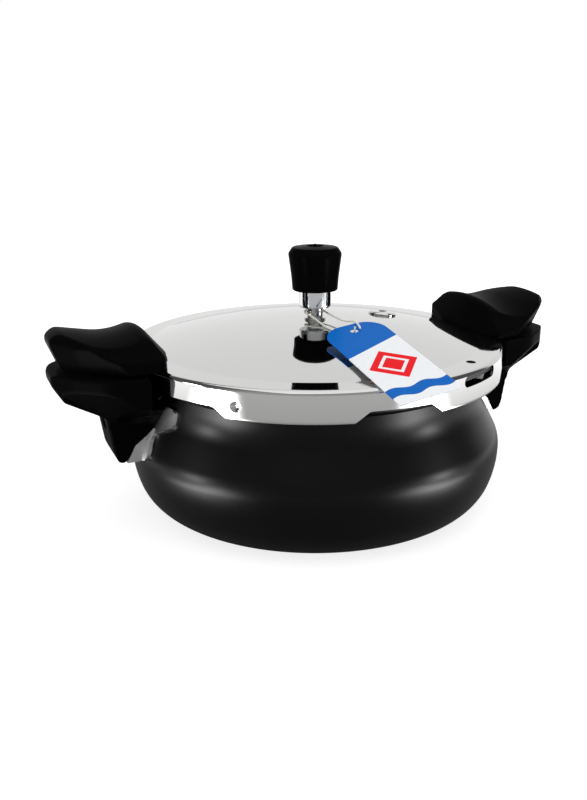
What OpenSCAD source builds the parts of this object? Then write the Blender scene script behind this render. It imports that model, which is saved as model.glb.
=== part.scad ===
// Stovetop pressure cooker of the outer-lid kind: a bulged pot, a domed lid that
// turns and locks under six lugs, stacked ear handles, a weight valve, a fusible
// safety valve and a hang tag on its string.
// Origin: centre of the base, on the plane it rests on. +X: along the handles. +Z: up.

/* [Pot] */
// How far the pot's neck stands inside the lid's skirt
rim_gap = 12.6; // [12:0.1:13.4]
// How far the belly stands out beyond the neck
belly_bulge = 13.2; // [12:0.1:15]
// Height of that widest ring above the resting plane
belly_z = 39; // [36:0.5:42]
// Radius of the rounded corner between base and belly
base_corner_r = 28; // [22:0.5:32]
// Radius of the belly's arc below its widest ring
belly_lower_r = 60; // [56:1:70]
// Radius of the belly's arc above its widest ring
belly_upper_r = 22; // [18:0.5:25]
// Lean of the shoulder between belly and neck, in degrees from upright
shoulder_lean = 28; // [26:0.5:31]
// Radius of the hollow arc that turns the shoulder into the neck
neck_arc_r = 30; // [24:0.5:34]
// Thickness of the pot's wall and base
pot_wall = 3.2; // [2.5:0.1:4]
// Height of the upright neck and rim above the neck's hollow
neck_h = 17.91; // [16:0.01:20]
// How far the rim's collar stands out from the neck
collar_proud = 2.5; // [1.5:0.1:3.2]
// Thickness of the pot's locking lugs
pot_lug_t = 3.4; // [2.6:0.1:4.2]
// Width of each pot lug, in degrees around the rim
pot_lug_arc = 22; // [16:0.5:23]

/* [Lid] */
// Outer radius of the lid's skirt
lid_r = 113.6; // [112.5:0.1:116]
// Thickness of the lid's sheet
lid_wall = 1.5; // [1.2:0.05:1.9]
// Radius of the rounded edge between the lid's top and its skirt
lid_edge_r = 2.6; // [2.2:0.1:4]
// Width of the flat ring around the dome
lid_flat_w = 13.8; // [11:0.1:16]
// Height of the dome above the flat ring
dome_rise = 12.3; // [9:0.1:15]
// Radius of the flat seat at the top of the dome
dome_seat_r = 8.5; // [8:0.1:12]
// Depth of the skirt between the lid's lugs
skirt_depth = 11.7; // [11:0.1:13]
// Depth of the skirt at the lid's lugs
lug_depth = 18.3; // [17.4:0.1:19.5]
// Number of locking lugs on the lid and on the pot
lug_count = 6; // [6:1:6]
// Turn of the lugs from the handles' line, in degrees
lug_phase = 0; // [-3:0.5:3]
// Width of each lid lug along its bottom edge, in degrees
lug_arc_bottom = 33; // [30:0.5:34]
// Width of each lid lug where it leaves the skirt, in degrees
lug_arc_top = 42; // [38:0.5:45]
// Length of the gasket release slot in the skirt
slot_len = 34; // [20:0.5:40]
// Height of the gasket release slot
slot_h = 6.3; // [4:0.1:6.8]
// Diameter of the pressure relief hole over the gasket
relief_d = 5.5; // [3:0.1:6.5]
// Diameter of the pressed stop dimple in the skirt
dimple_d = 5; // [3:0.1:6]

/* [Gasket] */
// Thickness of the rubber sealing ring
gasket_t = 4.1; // [3.4:0.1:4.8]
// Width of the rubber sealing ring, from inside to outside
gasket_w = 13.3; // [11:0.1:14.5]

/* [Lid handles] */
// Reach of the lid handles' tips beyond the lid's skirt
lid_handle_reach = 46.4; // [43:0.1:49]
// How far the lid handles' feet lie over the lid, inwards from its skirt
foot_lap = 18.1; // [16:0.1:22]
// Half width of a lid handle's foot on its wide side
foot_wide_w = 45; // [42:0.5:46]
// Half width of a lid handle's foot on its slim side
foot_slim_w = 38; // [34:0.5:45]
// Half width of the foot's inner edge on its wide side
foot_in_wide = 31; // [26:0.5:34]
// Half width of the foot's inner edge on its slim side
foot_in_slim = 8; // [6:0.5:24]
// Half width of a handle's grip
grip_half_w = 43; // [41:0.5:46]
// Half width of a handle near its tip, where it rounds over
tip_half_w = 24.5; // [23:0.5:27]
// Half width of a handle's top between its rounded edges
top_half_w = 31; // [28:0.5:33]
// Height of the ridge at the lid handle's foot, above the lid's flat ring
ridge_h = 18; // [16:0.1:20]
// Height of the lid handle's raised tip, above the lid's flat ring
tip_h = 19; // [17:0.1:21]
// Height of the lowest line of the thumb scoop, above the lid's flat ring
scoop_h = 15.8; // [13:0.1:16.4]
// Radius that crowns the lid handle's top from side to side
crown_r = 122; // [100:1:150]
// How far the crown's highest line stands off the middle, to the slim side
crown_off = 5; // [0:0.5:7]
// How far the nose's sides lean in from the grip's outline down to the handle's underside
nose_draft = 6; // [3:0.5:7]

/* [Pot handles] */
// Reach of the pot handles' tips beyond the lid's skirt
pot_handle_reach = 47.4; // [44:0.1:50]
// Thickness of the pot handle's grip
pot_grip_t = 19; // [15:0.5:21]
// Gap between the pot handle's grip and the lid handle above it
handle_gap = 1.7; // [1.2:0.1:3]
// Height of the straight edge that the grip's cut corners leave
grip_edge_h = 7.6; // [5:0.2:10]
// Distance of the leg's outer face from the pot's neck
leg_out = 31; // [27:0.5:32]
// Half width of the leg
leg_half_w = 16; // [15:0.5:19]
// Height of the leg's lower tip above the resting plane
leg_z = 42.5; // [41:0.5:46]

/* [Brackets and fasteners] */
// Thickness of the steel saddle between the pot and its handle
saddle_t = 2; // [1.5:0.1:2.5]
// Half width of the steel saddle at its upper tabs
saddle_half_w = 31; // [28:0.5:36]
// Half width of the steel saddle at its lower tabs
saddle_low_w = 24; // [21:0.5:26]
// Thickness of the steel strap under each lid handle
strap_t = 1.6; // [1.2:0.1:1.9]
// Width of the steel strap under each lid handle
strap_w = 30; // [26:0.5:34]
// Radius of the pot handle's screw
pot_screw_r = 2.5; // [2:0.1:3]
// Radius of the lid handle's screws
lid_screw_r = 2; // [1.5:0.1:2.3]
// Radius of the rivets that hold the saddles
rivet_r = 2.4; // [2:0.1:3]

/* [Weight valve] */
// Outer radius of the vent tube's stem
stem_r = 5; // [4.4:0.1:5.4]
// Radius of the steam passage through the vent tube
steam_r = 1.5; // [1:0.1:1.8]
// Length of the stem above the lid that the weight leaves bare
stem_bare = 7.7; // [6.5:0.1:9]
// Outer radius of the weight's metal body
weight_r = 10; // [9:0.1:10.6]
// Length of the weight's body below its cap
weight_bare = 10.3; // [8:0.1:12]
// Height of the cap on the weight
cap_h = 27.5; // [25:0.1:31]
// Radius of the cap at its lower edge
cap_low_r = 13.7; // [13:0.1:14.5]
// Radius of the cap at its widest
cap_max_r = 16.1; // [15:0.1:17]
// Width of the steam slots in the weight's body
steam_slot_w = 3.2; // [2.4:0.1:3.6]
// Radius of the valve pin
pin_r = 2; // [1.7:0.1:2.4]

/* [Safety valve] */
// Distance of the safety valve from the lid's centre
safety_dist = 49.5; // [40:0.5:60]
// Radius of the safety valve's head
safety_r = 8.7; // [7:0.1:10]
// Thickness of the safety valve's head
safety_head_h = 1.8; // [1.4:0.1:3]
// Radius of the safety valve's threaded shank
safety_shank_r = 4.5; // [4:0.1:5]

/* [Hang tag] */
// Width of the hang tag
tag_w = 36; // [30:0.5:40]
// Length of the hang tag
tag_len = 90; // [80:0.5:92]
// Thickness of the hang tag
tag_t = 0.6; // [0.4:0.05:1]
// Diameter of the tag's string
string_d = 1.2; // [0.8:0.1:1.5]

/* [Hidden] */
$fn = 96;
eps = 0.01;
seat_gap = 0.02;       // between pieces fixed to each other
turn_gap = 0.3;        // between pieces that turn or slide past each other
pin_gap = 0.05;        // radial clearance of a pin in its bore
ring_gap = 0.1;        // below and above the gasket

// Radii that follow from the lid's skirt
neck_r = lid_r - rim_gap;
belly_r = neck_r + belly_bulge;
leg_r = neck_r + leg_out;
foot_r = lid_r - foot_lap;
lid_tip_r = lid_r + lid_handle_reach;
pot_tip_r = lid_r + pot_handle_reach;

// The pot's outer line, as arcs: each centre follows from where the arcs meet
lower_cx = belly_r - belly_lower_r;
corner_dz = belly_z - base_corner_r;
corner_cx = lower_cx + sqrt(pow(belly_lower_r - base_corner_r, 2) - pow(corner_dz, 2));
corner_a = atan2(base_corner_r - belly_z, corner_cx - lower_cx);
shoulder_x = belly_r - belly_upper_r * (1 - cos(shoulder_lean));
shoulder_z = belly_z + belly_upper_r * sin(shoulder_lean);
hollow_x = neck_r + neck_arc_r * (1 - cos(shoulder_lean));
hollow_z = shoulder_z + (shoulder_x - hollow_x) / tan(shoulder_lean);
neck_z = hollow_z + neck_arc_r * sin(shoulder_lean);

// Heights and radii that follow from the sizes above
pot_h = neck_z + neck_h;
lid_z = pot_h + 2 * ring_gap + gasket_t + lid_wall;
apex_z = lid_z + dome_rise;
lid_in_r = lid_r - lid_wall;
dome_r = lid_r - lid_flat_w;
gasket_out_r = lid_in_r - turn_gap;
gasket_in_r = gasket_out_r - gasket_w;
collar_r = neck_r + collar_proud;
lip_r = collar_r + 4 * turn_gap;
lug_z = lid_z - lug_depth;
lip_top_z = lug_z + lid_wall;
pot_lug_z = lip_top_z + 2 * turn_gap;
pot_lug_r = lid_in_r - 5 * turn_gap;
gap_arc = 360 / lug_count;

// Dome: a sphere's cap around a small flat seat
dome_sphere_r = (pow(dome_r - dome_seat_r, 2) + pow(dome_rise, 2)) / (2 * dome_rise);
dome_a = asin((dome_r - dome_seat_r) / dome_sphere_r);

// Saddle, screw and rivets
saddle_z0 = leg_z + 1;
saddle_z1 = neck_z - 1;
saddle_notch_w = 17;
flange_y = leg_half_w - 0.2;
rivet_x = (shoulder_x + hollow_x) / 2;
rivet_z = (shoulder_z + hollow_z) / 2;
rivet_turn = 4.5;
rivet_head_r = 1.7 * rivet_r;
rivet_head_h = 0.7 * rivet_r;
pot_screw_z = hollow_z + 2.3;
boss_r = pot_screw_r + 3.5;
boss_len = 8.2;
pot_screw_head_r = 1.8 * pot_screw_r;
pot_screw_head_h = 1.2 * pot_screw_r;
pot_screw_seat = leg_r - 3.6 - pot_screw_head_h;
hub_x = neck_r + neck_arc_r - sqrt(pow(neck_arc_r, 2) - pow(neck_z - pot_screw_z, 2)) + saddle_t;
pot_screw_tip = hub_x + 2.4;
arm_z = neck_z - 0.2;

// Lid handle and strap
grip_z = lid_z - 1;
strap_in_r = dome_r + 2.5;
strap_out_r = lid_r + 29;
strap_step_x = lid_r + 1.2;
strap_z = grip_z + 0.2;
lid_screw_x = lid_r + 16;
lid_screw_y = 9;
lid_screw_len = 10;
pot_grip_z = grip_z - handle_gap;
pot_grip_low = pot_grip_z - pot_grip_t;
lid_sweep_r = lid_r + 5 * turn_gap;
sweep_z = lug_z - 5 * turn_gap;
crown_z = lid_z + ridge_h - crown_r;
scoop_x = (foot_r + lid_tip_r) / 2 - 3.6;
handle_l = lid_tip_r - foot_r;

// Vent tube and weight
weight_z = apex_z + stem_bare;
cap_z = weight_z + weight_bare;
cap_top = cap_z + cap_h;
stem_top = cap_z - 1.5;
bore_r = stem_r + turn_gap;
seat_cone_h = 1.6;
vent_collar_r = stem_r + 1.6;
vent_collar_h = 1.3;
nut_h = 5;
vent_washer_t = 1.4;
under_apex = apex_z - lid_wall;
body_top = cap_z + cap_h - 8;
steam_slot_turn = 26.7;
pin_tip = stem_top - seat_cone_h + 0.4;
pin_top = stem_top + 9;

// Safety valve: it stands square to the dome
safety_turn = 7;
safety_a = asin((safety_dist - dome_seat_r) / dome_sphere_r);
safety_z = apex_z - dome_sphere_r * (1 - cos(safety_a));
safety_nut_h = 4;
safety_washer_t = 1.2;
plug_r = 2.4;

// Relief hole, slot and dimple
slot_turn = -60;
slot_z = lid_z - 5.1;
relief_turn = -57;
relief_dist = lid_r - 9.6;
dimple_turn = -134.3;
dimple_drop = 10.4;

// Hang tag: its top edge's middle, its turn, its slope to the rim and its tilt
tag_at = [1.2, -44.1, apex_z + 4.4];
tag_turn = 3;
tag_over_rim = 2.56;
tag_slope = atan((tag_at[2] - lid_z - tag_over_rim) / (lid_r + tag_at[1]));
tag_tilt = 8;
tag_top_r = 13;
tag_low_r = 1;
tag_hole_r = 2.4;
tag_hole_at = 8;

// The string's route: from a knot on the tag, over its edge, round the vent stem,
// back under the tag and up through its hole
string_route = [
    [4.4, -53.6, 117.5], [5, -50.9, 118.4], [5.6, -46.4, 119.2], [6.3, -40.4, 118.8],
    [6.7, -32.4, 117.2], [6.7, -24.4, 116.2], [6.6, -16.4, 116.2], [6.3, -8.3, 116.6],
    [6.1, -3.3, 116.9], [6.1, 1.3, 117.2], [4.4, 4.5, 117.4], [0.9, 6.2, 117.5],
    [-2.9, 5.6, 117.4], [-5.7, 2.7, 117.2], [-6.3, -1.3, 116.9], [-5.7, -5.7, 116.4],
    [-4.8, -11.8, 115.2], [-4, -18.8, 113.9], [-3.2, -26.9, 113], [-2.4, -34.9, 112.5],
    [-1.4, -42, 112.3], [0, -47.4, 112.3], [1.2, -50.7, 113.4], [1.7, -51.9, 115.4],
    [1.8, -52.1, 117.2], [1.9, -52.3, 118.4]
];
string_sides = 8;

// ---- Outlines -------------------------------------------------------------

// Points along an arc about [cx, cy], from angle a0 to a1
function arc(cx, cy, r, a0, a1, n = 12) =
    [for (i = [0:n]) let (a = a0 + (a1 - a0) * i / n) [cx + r * cos(a), cy + r * sin(a)]];

function unit(v) = v / norm(v);

// A closed outline with each corner [x, y, radius] rounded by a true arc
function rounded(corners, n = 8) = [
    for (i = [0:len(corners) - 1])
        let (
            count = len(corners),
            here = [corners[i][0], corners[i][1]],
            before = corners[(i + count - 1) % count],
            after = corners[(i + 1) % count],
            u = unit([before[0], before[1]] - here),
            v = unit([after[0], after[1]] - here),
            half = acos(max(-1, min(1, u * v))) / 2,
            r = corners[i][2],
            reach = r / tan(half),
            centre = here + unit(u + v) * r / sin(half),
            from = here + u * reach - centre,
            to = here + v * reach - centre,
            a0 = atan2(from[1], from[0]),
            turn = atan2(from[0] * to[1] - from[1] * to[0], from * to)
        )
        each (r == 0 ? [here] : arc(centre[0], centre[1], r, a0, a0 + turn, n))
];

// The pot's outer line from the base to the rim, moved in (-) or out (+) by d
function pot_line(d) = concat(
    [[0, -d], [corner_cx, -d]],
    arc(corner_cx, base_corner_r, base_corner_r + d, -90, corner_a, 16),
    arc(lower_cx, belly_z, belly_lower_r + d, corner_a, 0, 12),
    arc(belly_r - belly_upper_r, belly_z, belly_upper_r + d, 0, shoulder_lean, 10),
    arc(neck_r + neck_arc_r, neck_z, neck_arc_r - d, 180 + shoulder_lean, 180, 10)
);

// The lid's outer line from the middle of the dome to the foot of its skirt, moved in by d
function lid_line(d) = concat(
    [[0, apex_z - d]],
    arc(dome_seat_r, apex_z - dome_sphere_r, dome_sphere_r - d, 90, 90 - dome_a, 40),
    [[dome_r + 1, lid_z - d]],
    arc(lid_r - lid_edge_r, lid_z - lid_edge_r, lid_edge_r - d, 90, 0, 10)
);

// A solid turned from the pot's outer line, closed up the axis
module pot_core(d, top) {
    rotate_extrude($fn = 180)
        polygon(concat(pot_line(d), [[neck_r + d, top], [0, top]]));
}

// An outline in x and z, carried sideways along y over a width
module side_extrude(width) {
    translate([0, width / 2, 0])
        rotate([90, 0, 0])
            linear_extrude(width)
                children();
}

// A child copied to the left and the right side by a half turn
module both_sides() {
    for (turn = [0, 180])
        rotate([0, 0, turn])
            children();
}

// ---- Pot ------------------------------------------------------------------

module pot_lug() {
    rotate([0, 0, -pot_lug_arc / 2])
        rotate_extrude(angle = pot_lug_arc, $fn = 180)
            polygon(rounded([
                [neck_r - 1, pot_lug_z, 0],
                [pot_lug_r, pot_lug_z, 1.2],
                [pot_lug_r, pot_lug_z + pot_lug_t, 1.2],
                [neck_r - 1, pot_lug_z + pot_lug_t, 0]
            ], 4));
}

module pot_body() {
    rotate_extrude($fn = 180)
        polygon(concat(
            pot_line(0),
            [
                [neck_r, pot_lug_z - collar_proud],
                [collar_r, pot_lug_z]
            ],
            arc(collar_r - 1, pot_h - 1, 1, 0, 90, 4),
            arc(neck_r - pot_wall + 1, pot_h - 1, 1, 90, 180, 4),
            [for (i = [len(pot_line(-pot_wall)) - 1:-1:0]) pot_line(-pot_wall)[i]]
        ));
}

// Axis of a rivet: square to the straight stretch of the shoulder
module at_rivet(side) {
    rotate([0, 0, side * rivet_turn])
        translate([rivet_x, 0, rivet_z])
            rotate([0, 90 - shoulder_lean, 0])
                children();
}

module rivet_holes() {
    both_sides()
        for (side = [-1, 1])
            at_rivet(side)
                translate([0, 0, -2 * pot_wall])
                    cylinder(h = 4 * pot_wall, r = rivet_r + seat_gap, $fn = 48);
}

module pot_shell() {
    color([0.06, 0.06, 0.07])
        difference() {
            union() {
                pot_body();
                for (i = [0:lug_count - 1])
                    rotate([0, 0, lug_phase + i * gap_arc])
                        pot_lug();
            }
            rivet_holes();
        }
}

// Steel saddle: it follows the pot's shoulder, with a tapped boss and two flanges for the leg
module saddle() {
    difference() {
        union() {
            intersection() {
                pot_core(saddle_t, neck_z + 1);
                translate([0, 0, saddle_z0])
                    side_saddle();
            }
            intersection() {
                translate([neck_r - pot_wall, 0, pot_screw_z])
                    rotate([0, 90, 0])
                        cylinder(h = hub_x + boss_len - neck_r + pot_wall, r = boss_r, $fn = 64);
                translate([0, 0, saddle_z0])
                    side_saddle();
            }
            for (side = [-1, 1])
                translate([0, side * (flange_y - saddle_t / 2), 0])
                    side_extrude(saddle_t)
                        flange_side();
        }
        pot_core(seat_gap, neck_z + 2);
        for (side = [-1, 1])
            at_rivet(side)
                translate([0, 0, -pot_wall])
                    cylinder(h = 3 * pot_wall, r = rivet_r + seat_gap, $fn = 48);
        translate([pot_screw_tip - 0.6, 0, pot_screw_z])
            rotate([0, 90, 0])
                cylinder(h = boss_len, r = pot_screw_r + pin_gap, $fn = 48);
    }
}

// The line on which a leg sits on its saddle's flanges, from the leg's foot up, moved in by d
function seat_line(d) = [
    [leg_r - 8.4 - d, leg_z - 0.6, 0.5], [leg_r - 10.8 - d, leg_z + 3.7, 3],
    [leg_r - 14.1 - d, leg_z + 10, 3], [neck_r + 10.3 - d, hollow_z - 5.2, 3],
    [neck_r + 5.6 - d, hollow_z - 1, 3], [neck_r + 3.2 - d, hollow_z + 4.1, 3],
    [neck_r + 1.9 - d, hollow_z + 10, 0]
];

// A flange of the saddle: from inside the pot's wall out to the leg's seat
module flange_side() {
    seat = seat_line(2 * seat_gap);
    polygon(rounded([
        [neck_r - pot_wall, leg_z + 1, 0], [seat[0][0], leg_z + 0.2, 0.5],
        seat[1], seat[2], seat[3], seat[4], [neck_r - pot_wall, hollow_z - 1, 0]
    ], 5));
}

// The saddle's outline, seen along the handle's line
module side_saddle() {
    height = saddle_z1 - saddle_z0;
    rotate([90, 0, 90])
        linear_extrude(pot_tip_r)
            polygon(rounded([
                [-saddle_low_w, 0, 4], [saddle_low_w, 0, 4],
                [saddle_notch_w, 11, 3], [saddle_notch_w, 15, 3],
                [saddle_half_w, 22, 3], [saddle_half_w, height, 3],
                [-saddle_half_w, height, 3], [-saddle_half_w, 22, 3],
                [-saddle_notch_w, 15, 3], [-saddle_notch_w, 11, 3]
            ], 6));
}

module saddle_right() {
    color([0.75, 0.75, 0.76])
        saddle();
}

module saddle_left() {
    color([0.75, 0.75, 0.76])
        rotate([0, 0, 180])
            saddle();
}

module rivet() {
    head_lift = 0.1;
    cylinder(h = saddle_t + rivet_head_h, r = rivet_r, $fn = 48);
    translate([0, 0, -pot_wall - head_lift])
        cylinder(h = pot_wall + saddle_t, r = rivet_r, $fn = 48);
    translate([0, 0, saddle_t + seat_gap])
        cylinder(h = rivet_head_h, r1 = rivet_head_r, r2 = 0.75 * rivet_head_r, $fn = 48);
    translate([0, 0, -pot_wall - head_lift - rivet_head_h])
        cylinder(h = rivet_head_h, r1 = 0.75 * rivet_head_r, r2 = rivet_head_r, $fn = 48);
}

module saddle_rivets() {
    color([0.7, 0.7, 0.7])
        both_sides()
            for (side = [-1, 1])
                at_rivet(side)
                    rivet();
}

// ---- Pot handles ----------------------------------------------------------

// One half of a handle's outline seen from above, from the foot to the round tip
function ear_half(inner_r, tip_r, foot_w, foot_in) = [
    [inner_r, foot_in, 12], [inner_r + 7.5, foot_w, 7],
    [tip_r - 29, grip_half_w - 4, 30], [tip_r - 11.5, tip_half_w, 20],
    [tip_r, tip_half_w - 13.5, 14]
];

// A handle seen from above: an ear that narrows to a round tip
module ear_plan(inner_r, tip_r, near_w, near_in, far_w, far_in, height) {
    near = ear_half(inner_r, tip_r, near_w, near_in);
    far = ear_half(inner_r, tip_r, far_w, far_in);
    linear_extrude(height)
        polygon(rounded(concat(
            [for (p = near) [p[0], -p[1], p[2]]],
            [for (i = [len(far) - 1:-1:0]) far[i]]
        ), 10));
}

// Carries an outline along one edge of an ear's plan on both sides: x outwards, y up
module along_edge(tip_r, i) {
    half = ear_half(foot_r, tip_r, grip_half_w, foot_in_wide);
    from = half[i];
    to = half[i + 1];
    for (side = [0, 1])
        mirror([0, side, 0])
            translate([from[0], from[1], 0])
                rotate([0, 0, atan2(to[1] - from[1], to[0] - from[0])])
                    translate([-handle_l, 0, 0])
                        rotate([90, 0, 90])
                            linear_extrude(2 * handle_l)
                                children();
}

// Side view: a grip with a leaning nose, and a leg that sits on the saddle's flanges
module pot_handle_side() {
    seat = seat_line(0);
    polygon(rounded([
        [lid_sweep_r - 3, pot_grip_z, 0],
        [pot_tip_r, pot_grip_z, 3.5],
        [pot_tip_r - 0.8, pot_grip_low + 12, 4],
        [pot_tip_r - 6.2, pot_grip_low + 3.6, 4],
        [leg_r + 1, pot_grip_low - 8, 3],
        [leg_r - 2.5, leg_z + 5.5, 14],
        [leg_r - 5.2, leg_z - 0.6, 3.4],
        seat[0], seat[1], seat[2], seat[3], seat[4], seat[5], seat[6],
        [neck_r + 1.9, arm_z, 0],
        [lid_sweep_r - 3, sweep_z - 1, 0]
    ], 8));
}

// Front view: the wide grip above, drawn in to the narrow leg
module pot_handle_front() {
    wide = grip_half_w + 2;
    polygon(rounded([
        [-wide, pot_grip_z + 1, 0], [wide, pot_grip_z + 1, 0],
        [wide - 1, pot_grip_low + 4, 8], [leg_half_w + 5, pot_grip_low - 7.5, 8],
        [leg_half_w, pot_grip_low - 14, 6], [leg_half_w - 0.5, leg_z - 1, 5],
        [0.5 - leg_half_w, leg_z - 1, 5], [-leg_half_w, pot_grip_low - 14, 6],
        [-leg_half_w - 5, pot_grip_low - 7.5, 8], [1 - wide, pot_grip_low + 4, 8]
    ], 8));
}

module pot_handle() {
    difference() {
        intersection() {
            side_extrude(2 * grip_half_w + 6)
                pot_handle_side();
            rotate([90, 0, 90])
                linear_extrude(pot_tip_r + 1)
                    pot_handle_front();
            ear_plan(
                neck_r - 9, pot_tip_r, grip_half_w, 0.6 * grip_half_w,
                grip_half_w, 0.6 * grip_half_w, pot_grip_z + 1
            );
        }
        cut_corners();
        pot_core(saddle_t + seat_gap, pot_h);
        translate([0, 0, sweep_z])
            cylinder(h = pot_h, r = lid_sweep_r, $fn = 180);
        pot_handle_bores();
    }
}

// The slanting cuts under the grip's corners, beside the leg
module cut_corners() {
    edge_z = pot_grip_z - grip_edge_h;
    difference() {
        along_edge(pot_tip_r, 2)
            polygon([
                [-handle_l / 2, edge_z - 1.18 * handle_l / 2], [grip_edge_h / 2, edge_z + 0.59 * grip_edge_h],
                [handle_l / 2, edge_z + 0.59 * grip_edge_h], [handle_l / 2, edge_z - 1.18 * handle_l / 2]
            ]);
        translate([0, -leg_half_w - 1, 0])
            cube([pot_tip_r + handle_l, 2 * leg_half_w + 2, pot_h]);
    }
}

// Pockets for the boss and rivet heads, the screw's hole and its sunk seat
module pot_handle_bores() {
    translate([neck_r - 4, 0, pot_screw_z])
        rotate([0, 90, 0])
            cylinder(h = hub_x + boss_len - neck_r + 4 + seat_gap, r = boss_r + seat_gap, $fn = 64);
    translate([neck_r, 0, pot_screw_z])
        rotate([0, 90, 0])
            cylinder(h = leg_r, r = pot_screw_r + pin_gap, $fn = 48);
    translate([pot_screw_seat, 0, pot_screw_z])
        rotate([0, 90, 0])
            cylinder(h = leg_r, r = pot_screw_head_r + turn_gap, $fn = 48);
    for (side = [-1, 1])
        at_rivet(side)
            cylinder(h = saddle_t + rivet_head_h + 1, r = rivet_head_r + 1, $fn = 48);
}

module pot_handle_right() {
    color([0.05, 0.05, 0.05])
        pot_handle();
}

module pot_handle_left() {
    color([0.05, 0.05, 0.05])
        rotate([0, 0, 180])
            pot_handle();
}

module pot_screw() {
    slot_w = 1.2;
    rotate([0, 90, 0])
        difference() {
            union() {
                cylinder(h = pot_screw_seat - pot_screw_tip, r = pot_screw_r, $fn = 48);
                translate([0, 0, pot_screw_seat - pot_screw_tip + seat_gap - eps])
                    cylinder(
                        h = pot_screw_head_h,
                        r1 = pot_screw_head_r, r2 = 0.8 * pot_screw_head_r, $fn = 48
                    );
            }
            translate([-slot_w / 2, -pot_screw_head_r, pot_screw_seat - pot_screw_tip + 1.6])
                cube([slot_w, 2 * pot_screw_head_r, pot_screw_head_h]);
        }
}

module pot_handle_screws() {
    color([0.8, 0.8, 0.8])
        both_sides()
            translate([pot_screw_tip, 0, pot_screw_z])
                pot_screw();
}

// ---- Gasket and lid -------------------------------------------------------

// Sealing ring: a thick band, open to the inside so that steam spreads its two lips
module gasket() {
    low = pot_h + ring_gap;
    mid = low + gasket_t / 2;
    color([0.12, 0.12, 0.12])
        rotate_extrude($fn = 180)
            polygon(concat(
                rounded([
                    [gasket_in_r, mid + 0.6, 0], [gasket_in_r, low + gasket_t, 0.5],
                    [gasket_out_r, low + gasket_t, 1], [gasket_out_r, low, 1],
                    [gasket_in_r, low, 0.5], [gasket_in_r, mid - 0.6, 0]
                ], 4),
                arc(gasket_in_r + gasket_w * 0.4, mid, 0.6, -90, 90, 4)
            ));
}

// The lid as turned, before it is cut: dome, flat ring, skirt and inward lips all round
module lid_blank() {
    inner = lid_line(lid_wall);
    rotate_extrude($fn = 180)
        polygon(concat(
            lid_line(0),
            arc(lid_r - lid_wall, lug_z + lid_wall, lid_wall, 0, -90, 4),
            [[lip_r, lug_z], [lip_r, lip_top_z], [lid_in_r, lip_top_z]],
            [for (i = [len(inner) - 1:-1:0]) inner[i]]
        ));
}

// Opening between two lugs, seen square on: its corners are the lugs' rounded corners
module lug_gap_outline() {
    low = lid_r * sin((gap_arc - lug_arc_bottom) / 2);
    high = lid_r * sin((gap_arc - lug_arc_top) / 2);
    far = low + 8;
    depth = lug_depth - skirt_depth;
    polygon(rounded([
        [-far, -3, 0], [far, -3, 0], [far, 0, 0], [low, 0, 3],
        [high, depth, 4], [-high, depth, 4], [-low, 0, 3], [-far, 0, 0]
    ], 6));
}

// Carries an outline outwards through the skirt
module through_skirt(from_r) {
    translate([from_r, 0, 0])
        rotate([90, 0, 90])
            linear_extrude(lid_r + 5 - from_r)
                children();
}

module lid_shell() {
    slot_r = slot_h / 2 - 0.1;
    color([0.82, 0.82, 0.83])
        difference() {
            lid_blank();
            for (i = [0:lug_count - 1])
                rotate([0, 0, lug_phase + (i + 0.5) * gap_arc])
                    translate([0, 0, lug_z])
                        through_skirt(lip_r - 4)
                            lug_gap_outline();
            rotate([0, 0, slot_turn])
                translate([0, 0, slot_z])
                    through_skirt(lid_r - 14)
                        polygon(rounded([
                            [-slot_len / 2, -slot_h / 2, slot_r], [slot_len / 2, -slot_h / 2, slot_r],
                            [slot_len / 2, slot_h / 2, slot_r], [-slot_len / 2, slot_h / 2, slot_r]
                        ], 6));
            rotate([0, 0, relief_turn])
                translate([relief_dist, 0, lid_z - 2 * lid_wall])
                    cylinder(h = 4 * lid_wall, d = relief_d, $fn = 48);
            rotate([0, 0, dimple_turn])
                translate([lid_r + dimple_d / 2 - 1, 0, lid_z - dimple_drop])
                    sphere(r = dimple_d / 2 + 0.6, $fn = 48);
            translate([0, 0, under_apex - 1])
                cylinder(h = 3 * lid_wall, r = stem_r + seat_gap, $fn = 64);
            at_safety()
                translate([0, 0, -3 * lid_wall])
                    cylinder(h = 6 * lid_wall, r = safety_shank_r + seat_gap, $fn = 64);
        }
}

// A solid turned from the lid's outer line, raised by d, to seat pieces on the lid
module lid_core(d) {
    rotate_extrude($fn = 180)
        polygon(concat(lid_line(-d), [[lid_r + d, lug_z], [0, lug_z]]));
}

// ---- Lid handles ----------------------------------------------------------

// Joggled strap: welded to the lid's flat ring, stepping down beside the rim
module strap() {
    top = lid_z + seat_gap;
    difference() {
        side_extrude(strap_w)
            polygon([
                [strap_in_r, top], [strap_step_x - 1, top],
                [strap_step_x, strap_z], [strap_out_r, strap_z],
                [strap_out_r, strap_z + strap_t], [strap_step_x + 1, strap_z + strap_t],
                [strap_step_x, top + strap_t], [strap_in_r, top + strap_t]
            ]);
        for (side = [-1, 1])
            translate([lid_screw_x, side * lid_screw_y, strap_z])
                screw_form(seat_gap);
    }
}

// Countersunk screw, or with a gap the hole it sits in
module screw_form(gap) {
    sink = 0.8 * strap_t;
    translate([0, 0, -gap])
        cylinder(h = sink + gap, r1 = lid_screw_r + sink + gap, r2 = lid_screw_r + gap, $fn = 48);
    cylinder(h = lid_screw_len + gap, r = lid_screw_r + gap, $fn = 48);
}

module lid_strap_right() {
    color([0.75, 0.75, 0.76])
        strap();
}

module lid_strap_left() {
    color([0.75, 0.75, 0.76])
        rotate([0, 0, 180])
            strap();
}

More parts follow.
